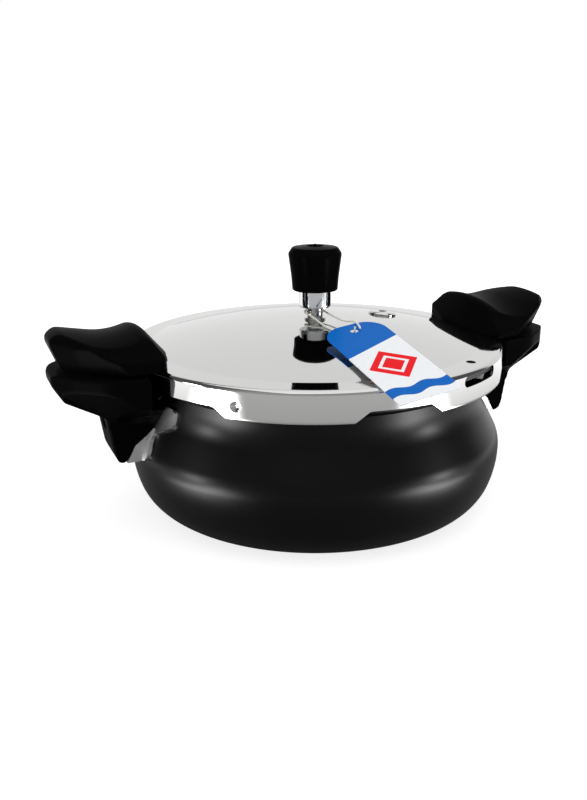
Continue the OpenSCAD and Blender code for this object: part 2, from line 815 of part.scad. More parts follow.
// Side view: foot, ridge, scoop and a raised nose that leans out
function lid_handle_side() = rounded([
    [lid_tip_r - 6, grip_z, 0],
    [lid_tip_r + 0.5, lid_z + tip_h - 3.5, 4.5],
    [lid_tip_r - 5.5, lid_z + tip_h + 1, 7],
    [scoop_x, lid_z + scoop_h - 1.1, 46],
    [foot_r + 14, lid_z + ridge_h + 1.3, 5],
    [foot_r + 1.5, lid_z + 4.5, 5],
    [foot_r, lid_z + 2, 0]
], 8);

// The side view turned about a line along the handle, which crowns its top from side to side
module crowned_handle() {
    side = lid_handle_side();
    half_a = 28;
    translate([0, crown_off, crown_z])
        rotate([0, 90, 0])
            rotate([0, 0, 180 - half_a])
                rotate_extrude(angle = 2 * half_a, $fn = 360)
                    polygon(concat(
                        [[10, lid_tip_r - 6]],
                        [for (p = side) [p[1] - crown_z, p[0]]],
                        [[10, foot_r]]
                    ));
}

// Front view: the sides lean in from the foot and round over to the crowned top
module lid_handle_front() {
    wide = grip_half_w + 2;
    edge = lid_z + 13;
    top = lid_z + tip_h + 3;
    polygon(rounded([
        [-wide, grip_z, 0], [wide, grip_z, 0], [wide - 1.2, lid_z + 3, 3],
        [top_half_w + 3, edge - 4, 10], [top_half_w - 1, edge + 1.5, 6], [top_half_w - 12, top, 0],
        [12 - top_half_w, top, 0], [1 - top_half_w, edge + 1.5, 6], [-top_half_w - 3, edge - 4, 10],
        [1.2 - wide, lid_z + 3, 3]
    ], 8));
}

// What the nose's sides lose: they lean in from the outline down to the underside
module nose_side() {
    high = lid_z + tip_h - 5.5;
    top = lid_z + tip_h + 1.5;
    polygon([
        [-nose_draft, grip_z - 1], [0.2, high], [-3.5, top],
        [handle_l / 2, top], [handle_l / 2, grip_z - 1]
    ]);
}

module lid_handle() {
    difference() {
        intersection() {
            crowned_handle();
            rotate([90, 0, 90])
                linear_extrude(lid_tip_r + 1)
                    lid_handle_front();
            translate([0, 0, grip_z])
                ear_plan(
                    foot_r, lid_tip_r, foot_wide_w, foot_in_wide,
                    foot_slim_w, foot_in_slim, tip_h + 10
                );
        }
        for (i = [2, 3])
            along_edge(lid_tip_r, i)
                nose_side();
        lid_core(seat_gap);
        translate([strap_in_r - 0.3, -strap_w / 2 - 0.2, grip_z - 1])
            cube([strap_step_x + 1 - strap_in_r, strap_w + 0.4, lid_z + strap_t + 4 * seat_gap - grip_z + 1]);
        translate([strap_step_x, -strap_w / 2 - 0.2, grip_z - 1])
            cube([
                strap_out_r + 0.3 - strap_step_x, strap_w + 0.4,
                strap_z + strap_t + 2 * seat_gap - grip_z + 1
            ]);
        for (side = [-1, 1])
            translate([lid_screw_x, side * lid_screw_y, strap_z])
                cylinder(h = lid_screw_len + 1, r = lid_screw_r + pin_gap, $fn = 48);
    }
}

module lid_handle_right() {
    color([0.05, 0.05, 0.05])
        lid_handle();
}

module lid_handle_left() {
    color([0.05, 0.05, 0.05])
        rotate([0, 0, 180])
            lid_handle();
}

module lid_handle_screws() {
    color([0.8, 0.8, 0.8])
        both_sides()
            for (side = [-1, 1])
                translate([lid_screw_x, side * lid_screw_y, strap_z])
                    screw_form(0);
}

// ---- Vent tube ------------------------------------------------------------

module vent_tube() {
    thread_low = under_apex - vent_washer_t - nut_h - 1;
    color([0.8, 0.8, 0.8])
        difference() {
            union() {
                translate([0, 0, thread_low])
                    cylinder(h = stem_top - thread_low, r = stem_r, $fn = 64);
                translate([0, 0, apex_z + seat_gap])
                    cylinder(h = vent_collar_h, r = vent_collar_r, $fn = 64);
            }
            translate([0, 0, thread_low - 1])
                cylinder(h = stem_top - thread_low + 2, r = steam_r, $fn = 48);
            translate([0, 0, stem_top - seat_cone_h])
                cylinder(h = seat_cone_h + eps, r1 = steam_r, r2 = pin_r + 0.6, $fn = 48);
        }
}

module vent_washer() {
    color([0.5, 0.2, 0.1])
        translate([0, 0, under_apex - seat_gap - vent_washer_t])
            difference() {
                cylinder(h = vent_washer_t, r = dome_seat_r - 0.5, $fn = 64);
                translate([0, 0, -1])
                    cylinder(h = vent_washer_t + 2, r = stem_r + pin_gap, $fn = 64);
            }
}

// Hexagon nut: six flats cut on a turned blank
module hex_nut(flats, height, bore) {
    difference() {
        intersection() {
            cylinder(h = height, r = flats / 2 / cos(30), $fn = 6);
            cylinder(h = height, r = flats / 2 * 1.1, $fn = 64);
        }
        translate([0, 0, -1])
            cylinder(h = height + 2, r = bore, $fn = 64);
    }
}

module vent_nut() {
    color([0.75, 0.65, 0.35])
        translate([0, 0, under_apex - 2 * seat_gap - vent_washer_t - nut_h])
            hex_nut(2 * stem_r + 5, nut_h, stem_r + pin_gap);
}

// ---- Safety valve ---------------------------------------------------------

module at_safety() {
    rotate([0, 0, safety_turn])
        translate([safety_dist, 0, safety_z])
            rotate([0, safety_a, 0])
                children();
}

module safety_valve_body() {
    shank = lid_wall + safety_washer_t + safety_nut_h + 1.2;
    color([0.8, 0.8, 0.8])
        at_safety()
            difference() {
                union() {
                    translate([0, 0, 2 * seat_gap])
                        cylinder(h = safety_head_h * 0.6, r = safety_r, $fn = 64);
                    translate([0, 0, 2 * seat_gap + safety_head_h * 0.6])
                        cylinder(
                            h = safety_head_h * 0.4,
                            r1 = safety_r, r2 = safety_r - safety_head_h * 0.6, $fn = 64
                        );
                    translate([0, 0, -shank])
                        cylinder(h = shank + 1, r = safety_shank_r, $fn = 64);
                }
                translate([0, 0, -shank - 1])
                    cylinder(h = shank + safety_head_h + 2, r = plug_r, $fn = 48);
            }
}

module fusible_plug() {
    shank = lid_wall + safety_washer_t + safety_nut_h;
    color([0.6, 0.6, 0.62])
        at_safety()
            difference() {
                translate([0, 0, -shank])
                    cylinder(h = shank + safety_head_h + 0.5, r = plug_r - seat_gap, $fn = 48);
                translate([0, 0, safety_head_h])
                    cylinder(h = 1, r = plug_r * 0.4, $fn = 32);
            }
}

module safety_washer() {
    color([0.5, 0.2, 0.1])
        at_safety()
            translate([0, 0, -lid_wall - 0.12 - safety_washer_t])
                difference() {
                    cylinder(h = safety_washer_t, r = safety_r - 1.5, $fn = 64);
                    translate([0, 0, -1])
                        cylinder(h = safety_washer_t + 2, r = safety_shank_r + pin_gap, $fn = 64);
                }
}

module safety_nut() {
    color([0.75, 0.65, 0.35])
        at_safety()
            translate([0, 0, -lid_wall - 0.14 - safety_washer_t - safety_nut_h])
                hex_nut(2 * safety_shank_r + 4.5, safety_nut_h, safety_shank_r + pin_gap);
}

// ---- Weight ---------------------------------------------------------------

// Metal body: bored for the stem, slotted for steam, drilled for the pin
module weight_body() {
    color([0.85, 0.85, 0.86])
        difference() {
            union() {
                translate([0, 0, weight_z])
                    cylinder(h = body_top - weight_z, r = weight_r - 0.6, $fn = 96);
                translate([0, 0, weight_z + 0.8])
                    cylinder(h = body_top - weight_z - 2, r = weight_r, $fn = 96);
            }
            translate([0, 0, weight_z - 1])
                cylinder(h = stem_top + turn_gap - weight_z + 1, r = bore_r, $fn = 64);
            translate([0, 0, weight_z - eps])
                cylinder(h = 1.2, r1 = bore_r + 1.2, r2 = bore_r, $fn = 64);
            translate([0, 0, stem_top])
                cylinder(h = pin_top - stem_top + turn_gap, r = pin_r + pin_gap, $fn = 48);
            for (i = [0:3])
                rotate([0, 0, steam_slot_turn + i * 90])
                    translate([bore_r - 1, -steam_slot_w / 2, weight_z + 1.8])
                        cube([weight_r, steam_slot_w, weight_bare - 1]);
        }
}

// Moulded cap: a barrel that widens upwards, rounds over and ends in a low crown
module weight_cap() {
    wide_z = cap_z + 0.8 * cap_h;
    press = seat_gap;
    color([0.05, 0.05, 0.05])
        rotate_extrude($fn = 96)
            polygon(concat(
                rounded([
                    [weight_r + press, cap_z, 0], [cap_low_r, cap_z, 0.8],
                    [cap_low_r + 0.6, cap_z + 8, 30], [cap_max_r, wide_z, 3],
                    [cap_max_r - 2.4, cap_top - 2, 1.5], [3.2, cap_top - 0.9, 2]
                ], 6),
                arc(0, cap_top - 1.6, 1.6, 20, 90, 4),
                [[0, body_top + press], [weight_r + press, body_top + press]]
            ));
}

// Valve pin: its cone closes the vent tube's mouth
module valve_pin() {
    cone_h = 2.6;
    color([0.7, 0.7, 0.7])
        union() {
            translate([0, 0, pin_tip + cone_h])
                cylinder(h = pin_top - pin_tip - cone_h, r = pin_r, $fn = 48);
            translate([0, 0, pin_tip])
                cylinder(h = cone_h, r1 = 0.4, r2 = pin_r, $fn = 48);
        }
}

// ---- Hang tag and its string ----------------------------------------------

module hang_tag() {
    color([0.95, 0.95, 0.95])
        translate(tag_at)
            rotate([0, 0, tag_turn])
                rotate([tag_slope, 0, 0])
                    rotate([0, -tag_tilt, 0])
                        difference() {
                            linear_extrude(tag_t)
                                polygon(rounded([
                                    [-tag_w / 2, 0, tag_top_r], [-tag_w / 2, -tag_len, tag_low_r],
                                    [tag_w / 2, -tag_len, tag_low_r], [tag_w / 2, 0, tag_top_r]
                                ], 8));
                            translate([0, -tag_hole_at, -1])
                                cylinder(h = tag_t + 2, r = tag_hole_r, $fn = 32);
                        }
}

// A smooth curve through the route's points, in even steps of each stretch
function spline(p, i, t) =
    let (
        n = len(p) - 1,
        a = p[max(0, i - 1)],
        b = p[i],
        c = p[min(n, i + 1)],
        d = p[min(n, i + 2)]
    )
    0.5 * (2 * b + (c - a) * t + (2 * a - 5 * b + 4 * c - d) * t * t
        + (3 * b - a - 3 * c + d) * t * t * t);

function smooth_path(p, steps) = concat(
    [for (i = [0:len(p) - 2]) for (s = [0:steps - 1]) spline(p, i, s / steps)],
    [p[len(p) - 1]]
);

// Rings of a tube around a path: each ring stands square to the path
function ring(p, i, r, sides) =
    let (
        n = len(p) - 1,
        along = unit(p[min(n, i + 1)] - p[max(0, i - 1)]),
        across = unit(cross(along, abs(along[2]) > 0.9 ? [1, 0, 0] : [0, 0, 1])),
        up = cross(across, along)
    )
    [for (k = [0:sides - 1]) p[i] + r * (across * cos(k * 360 / sides) + up * sin(k * 360 / sides))];

module tube(path, r, sides) {
    n = len(path) - 1;
    points = [for (i = [0:n]) each ring(path, i, r, sides)];
    walls = [
        for (i = [0:n - 1]) for (k = [0:sides - 1])
            [i * sides + k, i * sides + (k + 1) % sides,
             (i + 1) * sides + (k + 1) % sides, (i + 1) * sides + k]
    ];
    start = [for (k = [sides - 1:-1:0]) k];
    finish = [for (k = [0:sides - 1]) n * sides + k];
    polyhedron(points, concat(walls, [start, finish]), convexity = 8);
}

module tag_string() {
    color([0.97, 0.97, 0.95])
        tube(smooth_path(string_route, 2), string_d / 2, string_sides);
}

pot_shell();
saddle_left();
saddle_right();
saddle_rivets();
pot_handle_left();
pot_handle_right();
pot_handle_screws();
gasket();
lid_shell();
lid_strap_left();
lid_strap_right();
lid_handle_left();
lid_handle_right();
lid_handle_screws();
vent_tube();
vent_washer();
vent_nut();
safety_valve_body();
fusible_plug();
safety_washer();
safety_nut();
weight_cap();
weight_body();
valve_pin();
tag_string();
hang_tag();
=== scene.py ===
# %% [markdown]
# # Dressing a stovetop pressure cooker
# The exact solids of the cooker come from a CAD model. Here they are loaded as a fixed frame, and the pieces whose
# finish depends on perfectly smooth curvature are remade as dense meshes in the same place and at the same size.
# Everything is in metres, with the origin in the middle of the pot's base, +X along the handles and +Z up.

# %% Load the frame
import bpy
import bmesh
import math
import numpy as np
from mathutils import Matrix, Vector


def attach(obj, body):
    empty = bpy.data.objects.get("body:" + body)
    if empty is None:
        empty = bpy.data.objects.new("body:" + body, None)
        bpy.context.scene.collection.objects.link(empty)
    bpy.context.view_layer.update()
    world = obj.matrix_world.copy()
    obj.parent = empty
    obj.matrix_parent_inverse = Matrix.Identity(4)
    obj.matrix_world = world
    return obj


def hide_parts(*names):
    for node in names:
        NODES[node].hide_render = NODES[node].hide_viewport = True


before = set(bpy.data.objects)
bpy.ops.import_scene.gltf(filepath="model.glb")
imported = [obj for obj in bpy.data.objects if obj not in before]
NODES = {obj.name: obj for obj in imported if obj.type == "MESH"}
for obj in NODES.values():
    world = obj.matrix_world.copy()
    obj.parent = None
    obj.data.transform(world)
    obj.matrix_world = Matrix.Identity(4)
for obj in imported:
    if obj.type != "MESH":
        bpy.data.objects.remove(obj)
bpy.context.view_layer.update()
MM = 0.001

# %% [markdown]
# ## Camera
# A product picture of a pot is taken from a little above the rim, so that the lid reads as an ellipse and the belly
# still shows. The camera stands 580 mm from the middle of the cooker, turned 23 degrees towards the left handle.

# %% Camera
LOOK_AT = Vector((0, 0, 50.5 * MM))
CAMERA_AZIMUTH = math.radians(-23.33)
CAMERA_ELEVATION = math.radians(18.251)
CAMERA_DISTANCE = 580 * MM

camera_data = bpy.data.cameras.new("camera")
camera = bpy.data.objects.new("camera", camera_data)
bpy.context.scene.collection.objects.link(camera)
back = Vector((math.sin(CAMERA_AZIMUTH) * math.cos(CAMERA_ELEVATION),
               -math.cos(CAMERA_AZIMUTH) * math.cos(CAMERA_ELEVATION),
               math.sin(CAMERA_ELEVATION)))
camera.location = LOOK_AT + back * CAMERA_DISTANCE
camera.rotation_mode = "QUATERNION"
camera.rotation_quaternion = (-back).to_track_quat("-Z", "Y")
camera_data.lens = 41.31
camera_data.sensor_width = 36
camera_data.shift_x = -0.0269
camera_data.shift_y = 0.0195
camera_data.clip_start = 0.01
camera_data.clip_end = 20
bpy.context.scene.camera = camera
print("camera stands", round((camera.location - LOOK_AT).length / MM), "mm from the cooker's middle")

# %% [markdown]
# ## Two small helpers for node trees
# Every tree below, for a material or for geometry, is built by one function: it adds a node, sets what is given and
# links what is given. Colours are written as sRGB hex values, as in a paint program, and turned to the linear values
# that the renderer works in.

# %% Helpers for colours and nodes
def linear(hex_colour):
    channels = [int(hex_colour[i:i + 2], 16) / 255 for i in (1, 3, 5)]
    return tuple(c / 12.92 if c <= 0.04045 else ((c + 0.055) / 1.055) ** 2.4 for c in channels) + (1,)


def add(tree, kind, values=None, links=None, **settings):
    node = tree.nodes.new(kind)
    for key, value in settings.items():
        setattr(node, key, value)
    for key, value in (values or {}).items():
        node.inputs[key].default_value = value
    for key, socket in (links or {}).items():
        tree.links.new(socket, node.inputs[key])
    return node


def new_material(name, **constants):
    material = bpy.data.materials.new(name)
    material.use_nodes = True
    tree = material.node_tree
    tree.nodes.clear()
    shader = add(tree, "ShaderNodeBsdfPrincipled", {k.replace("_", " "): v for k, v in constants.items()})
    add(tree, "ShaderNodeOutputMaterial", links={"Surface": shader.outputs[0]})
    return material, tree, shader


print("white is", linear("#ffffff"), "and mid grey", tuple(round(c, 3) for c in linear("#808080")))

# %% [markdown]
# ## Finish: polished stainless steel
# The lid is pressed from stainless steel sheet and buffed to a mirror on a wheel while it spins, which leaves very
# fine rings round the axis. They are far finer than a picture can show, so they are drawn about 0.4 mm apart and very
# shallow: the eye sees a mirror whose reflections are drawn out a little along the radius.

# %% Polished steel
polished_steel, tree, shader = new_material("stainless steel, wheel polished", Metallic=1.0, Roughness=0.04)
shader.inputs["Base Color"].default_value = linear("#d1d1d0")
coords = add(tree, "ShaderNodeTexCoord")
split = add(tree, "ShaderNodeSeparateXYZ", links={0: coords.outputs["Object"]})
flat = add(tree, "ShaderNodeCombineXYZ", links={"X": split.outputs["X"], "Y": split.outputs["Y"]})
radius = add(tree, "ShaderNodeVectorMath", links={0: flat.outputs[0]}, operation="LENGTH")
ring_coords = add(tree, "ShaderNodeCombineXYZ", links={"X": radius.outputs["Value"], "Z": split.outputs["Z"]})
rings = add(tree, "ShaderNodeTexNoise", {"Scale": 2400.0, "Detail": 2.0}, {"Vector": ring_coords.outputs[0]})
haze = add(tree, "ShaderNodeTexNoise", {"Scale": 30.0, "Detail": 3.0}, {"Vector": coords.outputs["Object"]})
haze_range = add(tree, "ShaderNodeMapRange", {"To Min": 0.025, "To Max": 0.06}, {"Value": haze.outputs["Fac"]})
tree.links.new(haze_range.outputs[0], shader.inputs["Roughness"])
ring_bump = add(tree, "ShaderNodeBump", {"Strength": 0.03, "Distance": 0.00002}, {"Height": rings.outputs["Fac"]})
tree.links.new(ring_bump.outputs[0], shader.inputs["Normal"])

# %% [markdown]
# ## Finish: hard-anodised aluminium
# The pot's aluminium is grown over with a thick dark oxide and sealed, which gives a near-black skin with a soft
# sheen. The polished metal under it still shows as broad, slightly blurred highlights.

# %% Hard anodising
anodised, tree, shader = new_material("hard-anodised aluminium, sealed", Roughness=0.31)
shader.inputs["Specular IOR Level"].default_value = 0.11
shader.inputs["IOR"].default_value = 1.6
coords = add(tree, "ShaderNodeTexCoord")
cloud = add(tree, "ShaderNodeTexNoise", {"Scale": 45.0, "Detail": 4.0}, {"Vector": coords.outputs["Object"]})
tone = add(tree, "ShaderNodeMix", {6: linear("#050505"), 7: linear("#090909")}, {0: cloud.outputs["Fac"]},
           data_type="RGBA")
tree.links.new(tone.outputs[2], shader.inputs["Base Color"])
sheen = add(tree, "ShaderNodeMapRange", {"To Min": 0.29, "To Max": 0.33}, {"Value": cloud.outputs["Fac"]})
tree.links.new(sheen.outputs[0], shader.inputs["Roughness"])
grain = add(tree, "ShaderNodeTexNoise", {"Scale": 1800.0, "Detail": 2.0}, {"Vector": coords.outputs["Object"]})
grain_bump = add(tree, "ShaderNodeBump", {"Strength": 0.06, "Distance": 0.00003}, {"Height": grain.outputs["Fac"]})
tree.links.new(grain_bump.outputs[0], shader.inputs["Normal"])

# %% [markdown]
# ## Finish: moulded phenolic
# The handles and the weight's cap are moulded from black phenolic resin in polished steel moulds. The skin is
# smooth and very slightly uneven where the thick plastic shrank as it cured; the cap's mould is polished finer.
# Real phenolic has more gloss than this. Its reflection is turned far down here, because between dark walls the
# eye sees such handles as plain black, with only a breath of grey on top.

# %% Phenolic plastics
def phenolic(name, roughness, unevenness):
    material, tree, shader = new_material(name, Roughness=roughness)
    shader.inputs["IOR"].default_value = 1.55
    shader.inputs["Specular IOR Level"].default_value = 0.002
    coords = add(tree, "ShaderNodeTexCoord")
    mottle = add(tree, "ShaderNodeTexNoise", {"Scale": 60.0, "Detail": 3.0}, {"Vector": coords.outputs["Object"]})
    tone = add(tree, "ShaderNodeMix", {6: linear("#070707"), 7: linear("#0b0b0b")}, {0: mottle.outputs["Fac"]},
               data_type="RGBA")
    tree.links.new(tone.outputs[2], shader.inputs["Base Color"])
    wipe = add(tree, "ShaderNodeMapRange", {"To Min": roughness - 0.04, "To Max": roughness + 0.06},
               {"Value": mottle.outputs["Fac"]})
    tree.links.new(wipe.outputs[0], shader.inputs["Roughness"])
    skin = add(tree, "ShaderNodeTexNoise", {"Scale": 900.0, "Detail": 1.0}, {"Vector": coords.outputs["Object"]})
    bump = add(tree, "ShaderNodeBump", {"Strength": 0.1, "Distance": unevenness}, {"Height": skin.outputs["Fac"]})
    tree.links.new(bump.outputs[0], shader.inputs["Normal"])
    return material


bakelite = phenolic("phenolic, satin moulding", 0.33, 0.00004)
cap_plastic = phenolic("phenolic, gloss moulding", 0.2, 0.00002)

# %% [markdown]
# ## Finish: the smaller metals
# The weight is chrome plated. The saddles, straps and screws are plain pressed steel, with the faint lines of rolled
# sheet. The nuts are brass, the plug in the safety valve is a soft grey alloy, and the rivets are bare aluminium.

# %% Small metals
def metal(name, light, dark, roughness, line_spacing):
    material, tree, shader = new_material(name, Metallic=1.0, Roughness=roughness)
    coords = add(tree, "ShaderNodeTexCoord")
    stretch = add(tree, "ShaderNodeMapping", {"Scale": (1, 1, 12)}, {"Vector": coords.outputs["Object"]})
    lines = add(tree, "ShaderNodeTexNoise", {"Scale": 0.1 / line_spacing, "Detail": 3.0},
                {"Vector": stretch.outputs[0]})
    tone = add(tree, "ShaderNodeMix", {6: linear(light), 7: linear(dark)}, {0: lines.outputs["Fac"]},
               data_type="RGBA")
    tree.links.new(tone.outputs[2], shader.inputs["Base Color"])
    spread = add(tree, "ShaderNodeMapRange", {"To Min": roughness * 0.8, "To Max": roughness * 1.3},
                 {"Value": lines.outputs["Fac"]})
    tree.links.new(spread.outputs[0], shader.inputs["Roughness"])
    bump = add(tree, "ShaderNodeBump", {"Strength": 0.03, "Distance": 0.00002}, {"Height": lines.outputs["Fac"]})
    tree.links.new(bump.outputs[0], shader.inputs["Normal"])
    return material


chrome = metal("chromium plate, bright", "#e2e3e5", "#d4d5d8", 0.06, 0.0006)
plain_steel = metal("mild steel sheet, zinc plated", "#c4c4c4", "#b8b8b8", 0.3, 0.0002)
plain_aluminium = metal("aluminium, cold headed", "#cfcfd0", "#b7b7b9", 0.35, 0.0006)
brass = metal("brass, turned", "#c9a565", "#a98645", 0.25, 0.0004)
fuse_alloy = metal("tin and lead alloy, cast", "#9a9a9c", "#7f7f82", 0.45, 0.0008)

# %% [markdown]
# ## Finish: rubber
# The sealing ring and the valve washers are moulded rubber: matt, a little paler where the surface is dusted with
# talc, and soft at every edge.

# %% Rubber
def rubber(name, dark, dusty):
    material, tree, shader = new_material(name, Roughness=0.6)
    shader.inputs["Specular IOR Level"].default_value = 0.35
    coords = add(tree, "ShaderNodeTexCoord")
    dust = add(tree, "ShaderNodeTexNoise", {"Scale": 260.0, "Detail": 5.0}, {"Vector": coords.outputs["Object"]})
    ramp = add(tree, "ShaderNodeMapRange", {"From Min": 0.45, "From Max": 0.7}, {"Value": dust.outputs["Fac"]})
    tone = add(tree, "ShaderNodeMix", {6: linear(dark), 7: linear(dusty)}, {0: ramp.outputs[0]}, data_type="RGBA")
    tree.links.new(tone.outputs[2], shader.inputs["Base Color"])
    bump = add(tree, "ShaderNodeBump", {"Strength": 0.2, "Distance": 0.0001}, {"Height": dust.outputs["Fac"]})
    tree.links.new(bump.outputs[0], shader.inputs["Normal"])
    return material


seal_rubber = rubber("nitrile rubber, moulded", "#161616", "#262626")
valve_rubber = rubber("silicone rubber, moulded", "#6b2a1c", "#84402f")

# %% [markdown]
# ## Turned pieces
# The pot, the lid, the sealing ring, the weight and its cap are all shapes of revolution: one outline carried round
# the axis. A Geometry Nodes tree does that. It lays a flat grid, bends it into rings, and reads the radius and the
# height of every ring from the points of the outline, so that each corner of the outline stays exactly in place.

# %% The tree that turns an outline
def turning_tree():
    tree = bpy.data.node_groups.new("outline turned round the axis", "GeometryNodeTree")
    for name, kind in (("Outline", "Geometry"), ("Steps round", "Int"), ("Finish", "Material")):
        tree.interface.new_socket(name, in_out="INPUT", socket_type="NodeSocket" + kind)
    tree.interface.new_socket("Turned piece", in_out="OUTPUT", socket_type="NodeSocketGeometry")
    given = add(tree, "NodeGroupInput")
    outline, steps = given.outputs["Outline"], given.outputs["Steps round"]
    size = add(tree, "GeometryNodeAttributeDomainSize", links={0: outline}, component="MESH")
    across = add(tree, "ShaderNodeMath", {1: 1.0}, {0: size.outputs["Point Count"]}, operation="SUBTRACT")
    lines = add(tree, "ShaderNodeMath", {1: 1.0}, {0: steps}, operation="ADD")
    grid = add(tree, "GeometryNodeMeshGrid", links={
        "Size X": across.outputs[0], "Size Y": steps,
        "Vertices X": size.outputs["Point Count"], "Vertices Y": lines.outputs[0]})
    place = add(tree, "ShaderNodeSeparateXYZ", links={0: add(tree, "GeometryNodeInputPosition").outputs[0]})
    column = add(tree, "ShaderNodeMath", {1: 0.5}, {0: across.outputs[0], 2: place.outputs["X"]},
                 operation="MULTIPLY_ADD")
    index = add(tree, "ShaderNodeMath", links={0: column.outputs[0]}, operation="ROUND")
    point = add(tree, "GeometryNodeSampleIndex", links={
        "Geometry": outline, "Value": add(tree, "GeometryNodeInputPosition").outputs[0],
        "Index": index.outputs[0]}, data_type="FLOAT_VECTOR", domain="POINT")
    share = add(tree, "ShaderNodeMath", links={0: place.outputs["Y"], 1: steps}, operation="DIVIDE")
    angle = add(tree, "ShaderNodeMath", {1: 2 * math.pi}, {0: share.outputs[0]}, operation="MULTIPLY")
    turned = add(tree, "ShaderNodeVectorRotate", links={"Vector": point.outputs[0], "Angle": angle.outputs[0]},
                 rotation_type="Z_AXIS")
    moved = add(tree, "GeometryNodeSetPosition", links={"Geometry": grid.outputs[0], "Position": turned.outputs[0]})
    merged = add(tree, "GeometryNodeMergeByDistance", {"Distance": 1e-6}, {"Geometry": moved.outputs[0]})
    smooth = add(tree, "GeometryNodeSetShadeSmooth", links={"Geometry": merged.outputs[0]})
    real = add(tree, "GeometryNodeRealizeInstances", links={"Geometry": smooth.outputs[0]})
    finish = add(tree, "GeometryNodeSetMaterial", links={"Geometry": real.outputs[0],
                                                         "Material": given.outputs["Finish"]})
    add(tree, "NodeGroupOutput", links={0: finish.outputs[0]})
    return tree


TURNING = turning_tree()
print("turning tree has", len(TURNING.nodes), "nodes")

# %% Running a tree and keeping its mesh
SHARP = 35


def put(name, data):
    thing = bpy.data.objects.new(name, data)
    bpy.context.scene.collection.objects.link(thing)
    return thing


def applied(thing, finish, *helpers):
    graph = bpy.context.evaluated_depsgraph_get()
    mesh = bpy.data.meshes.new_from_object(thing.evaluated_get(graph), depsgraph=graph)
    for old in (thing, *helpers):
        bpy.data.objects.remove(old)
    mesh.materials.clear()
    mesh.materials.append(finish)
    return mesh


def grow(name, start_mesh, tree, **inputs):
    source = put(name + "_start", start_mesh)
    modifier = source.modifiers.new("tree", "NODES")
    modifier.node_group = tree
    for item in tree.interface.items_tree:
        label = item.name.replace(" ", "_")
        if item.in_out == "INPUT" and label in inputs:
            modifier[item.identifier] = inputs[label]
    mesh = applied(source, inputs["Finish"])
    mesh.polygons.foreach_set("material_index", [0] * len(mesh.polygons))
    return settle(name, mesh)


def settle(name, mesh, sharp=SHARP):
    work = bmesh.new()
    work.from_mesh(mesh)
    bmesh.ops.remove_doubles(work, verts=work.verts, dist=1e-6)
    bmesh.ops.recalc_face_normals(work, faces=work.faces)
    work.to_mesh(mesh)
    work.free()
    mesh.name = name
    mesh.shade_smooth()
    mesh.set_sharp_from_angle(angle=math.radians(sharp))
    print(f"{name}: {len(mesh.polygons)} faces")
    return put(name, mesh)


def outline_mesh(name, points):
    mesh = bpy.data.meshes.new(name)
    mesh.from_pydata([(r * MM, 0, z * MM) for r, z in points], [(i, i + 1) for i in range(len(points) - 1)], [])
    return mesh


def arc(cx, cz, r, start, end, steps):
    angles = [math.radians(start + (end - start) * i / steps) for i in range(steps + 1)]
    return [(cx + r * math.cos(a), cz + r * math.sin(a)) for a in angles]

# %% [markdown]
# ## The pot
# The pot is drawn from one aluminium disc and then bulged, so its wall is even and its outline is a chain of arcs:
# base corner, belly, shoulder and a hollow neck under a thicker rim. The arcs meet on common tangents, which is what
# keeps the highlights unbroken. Sizes are in millimetres, as in the exact model.

# %% Sizes of the pot
BELLY_R, BELLY_Z, BELLY_UPPER_R, BELLY_LOWER_R, CORNER_R = 114.2, 39.0, 22.0, 60.0, 28.0
LEAN, NECK_ARC_R, NECK_R, POT_WALL, POT_H = 28.0, 30.0, 101.0, 3.2, 94.7
LOWER_CX = BELLY_R - BELLY_LOWER_R
CORNER_CX = LOWER_CX + math.sqrt((BELLY_LOWER_R - CORNER_R) ** 2 - (BELLY_Z - CORNER_R) ** 2)
CORNER_A = math.degrees(math.atan2(CORNER_R - BELLY_Z, CORNER_CX - LOWER_CX))
lean_cos, lean_sin = math.cos(math.radians(LEAN)), math.sin(math.radians(LEAN))
SHOULDER_X, SHOULDER_Z = BELLY_R - BELLY_UPPER_R * (1 - lean_cos), BELLY_Z + BELLY_UPPER_R * lean_sin
HOLLOW_X = NECK_R + NECK_ARC_R * (1 - lean_cos)
HOLLOW_Z = SHOULDER_Z + (SHOULDER_X - HOLLOW_X) * lean_cos / lean_sin
NECK_Z = HOLLOW_Z + NECK_ARC_R * lean_sin
LUG_COUNT, POT_LUG_Z, POT_LUG_T, POT_LUG_R, POT_LUG_ARC = 6, 84.3, 3.4, 110.6, 22.0
print(f"shoulder at {SHOULDER_Z:.1f} mm, neck from {NECK_Z:.1f} mm")


def pot_line(d):
    return ([(0, -d), (CORNER_CX * 0.5, -d)] + arc(CORNER_CX, CORNER_R, CORNER_R + d, -90, CORNER_A, 40)
            + arc(LOWER_CX, BELLY_Z, BELLY_LOWER_R + d, CORNER_A, 0, 30)[1:]
            + arc(BELLY_R - BELLY_UPPER_R, BELLY_Z, BELLY_UPPER_R + d, 0, LEAN, 16)[1:]
            + arc(NECK_R + NECK_ARC_R, NECK_Z, NECK_ARC_R - d, 180 + LEAN, 180, 20))

# %% Pot body
pot_outline = (pot_line(0) + [(NECK_R, POT_LUG_Z - 2.5), (NECK_R + 2.5, POT_LUG_Z)]
               + arc(NECK_R + 1.5, POT_H - 1, 1, 0, 90, 6) + arc(NECK_R - POT_WALL + 1, POT_H - 1, 1, 90, 180, 6)
               + pot_line(-POT_WALL)[::-1])
pot_body = grow("pot_body", outline_mesh("pot outline", pot_outline), TURNING, Steps_round=256, Finish=anodised)
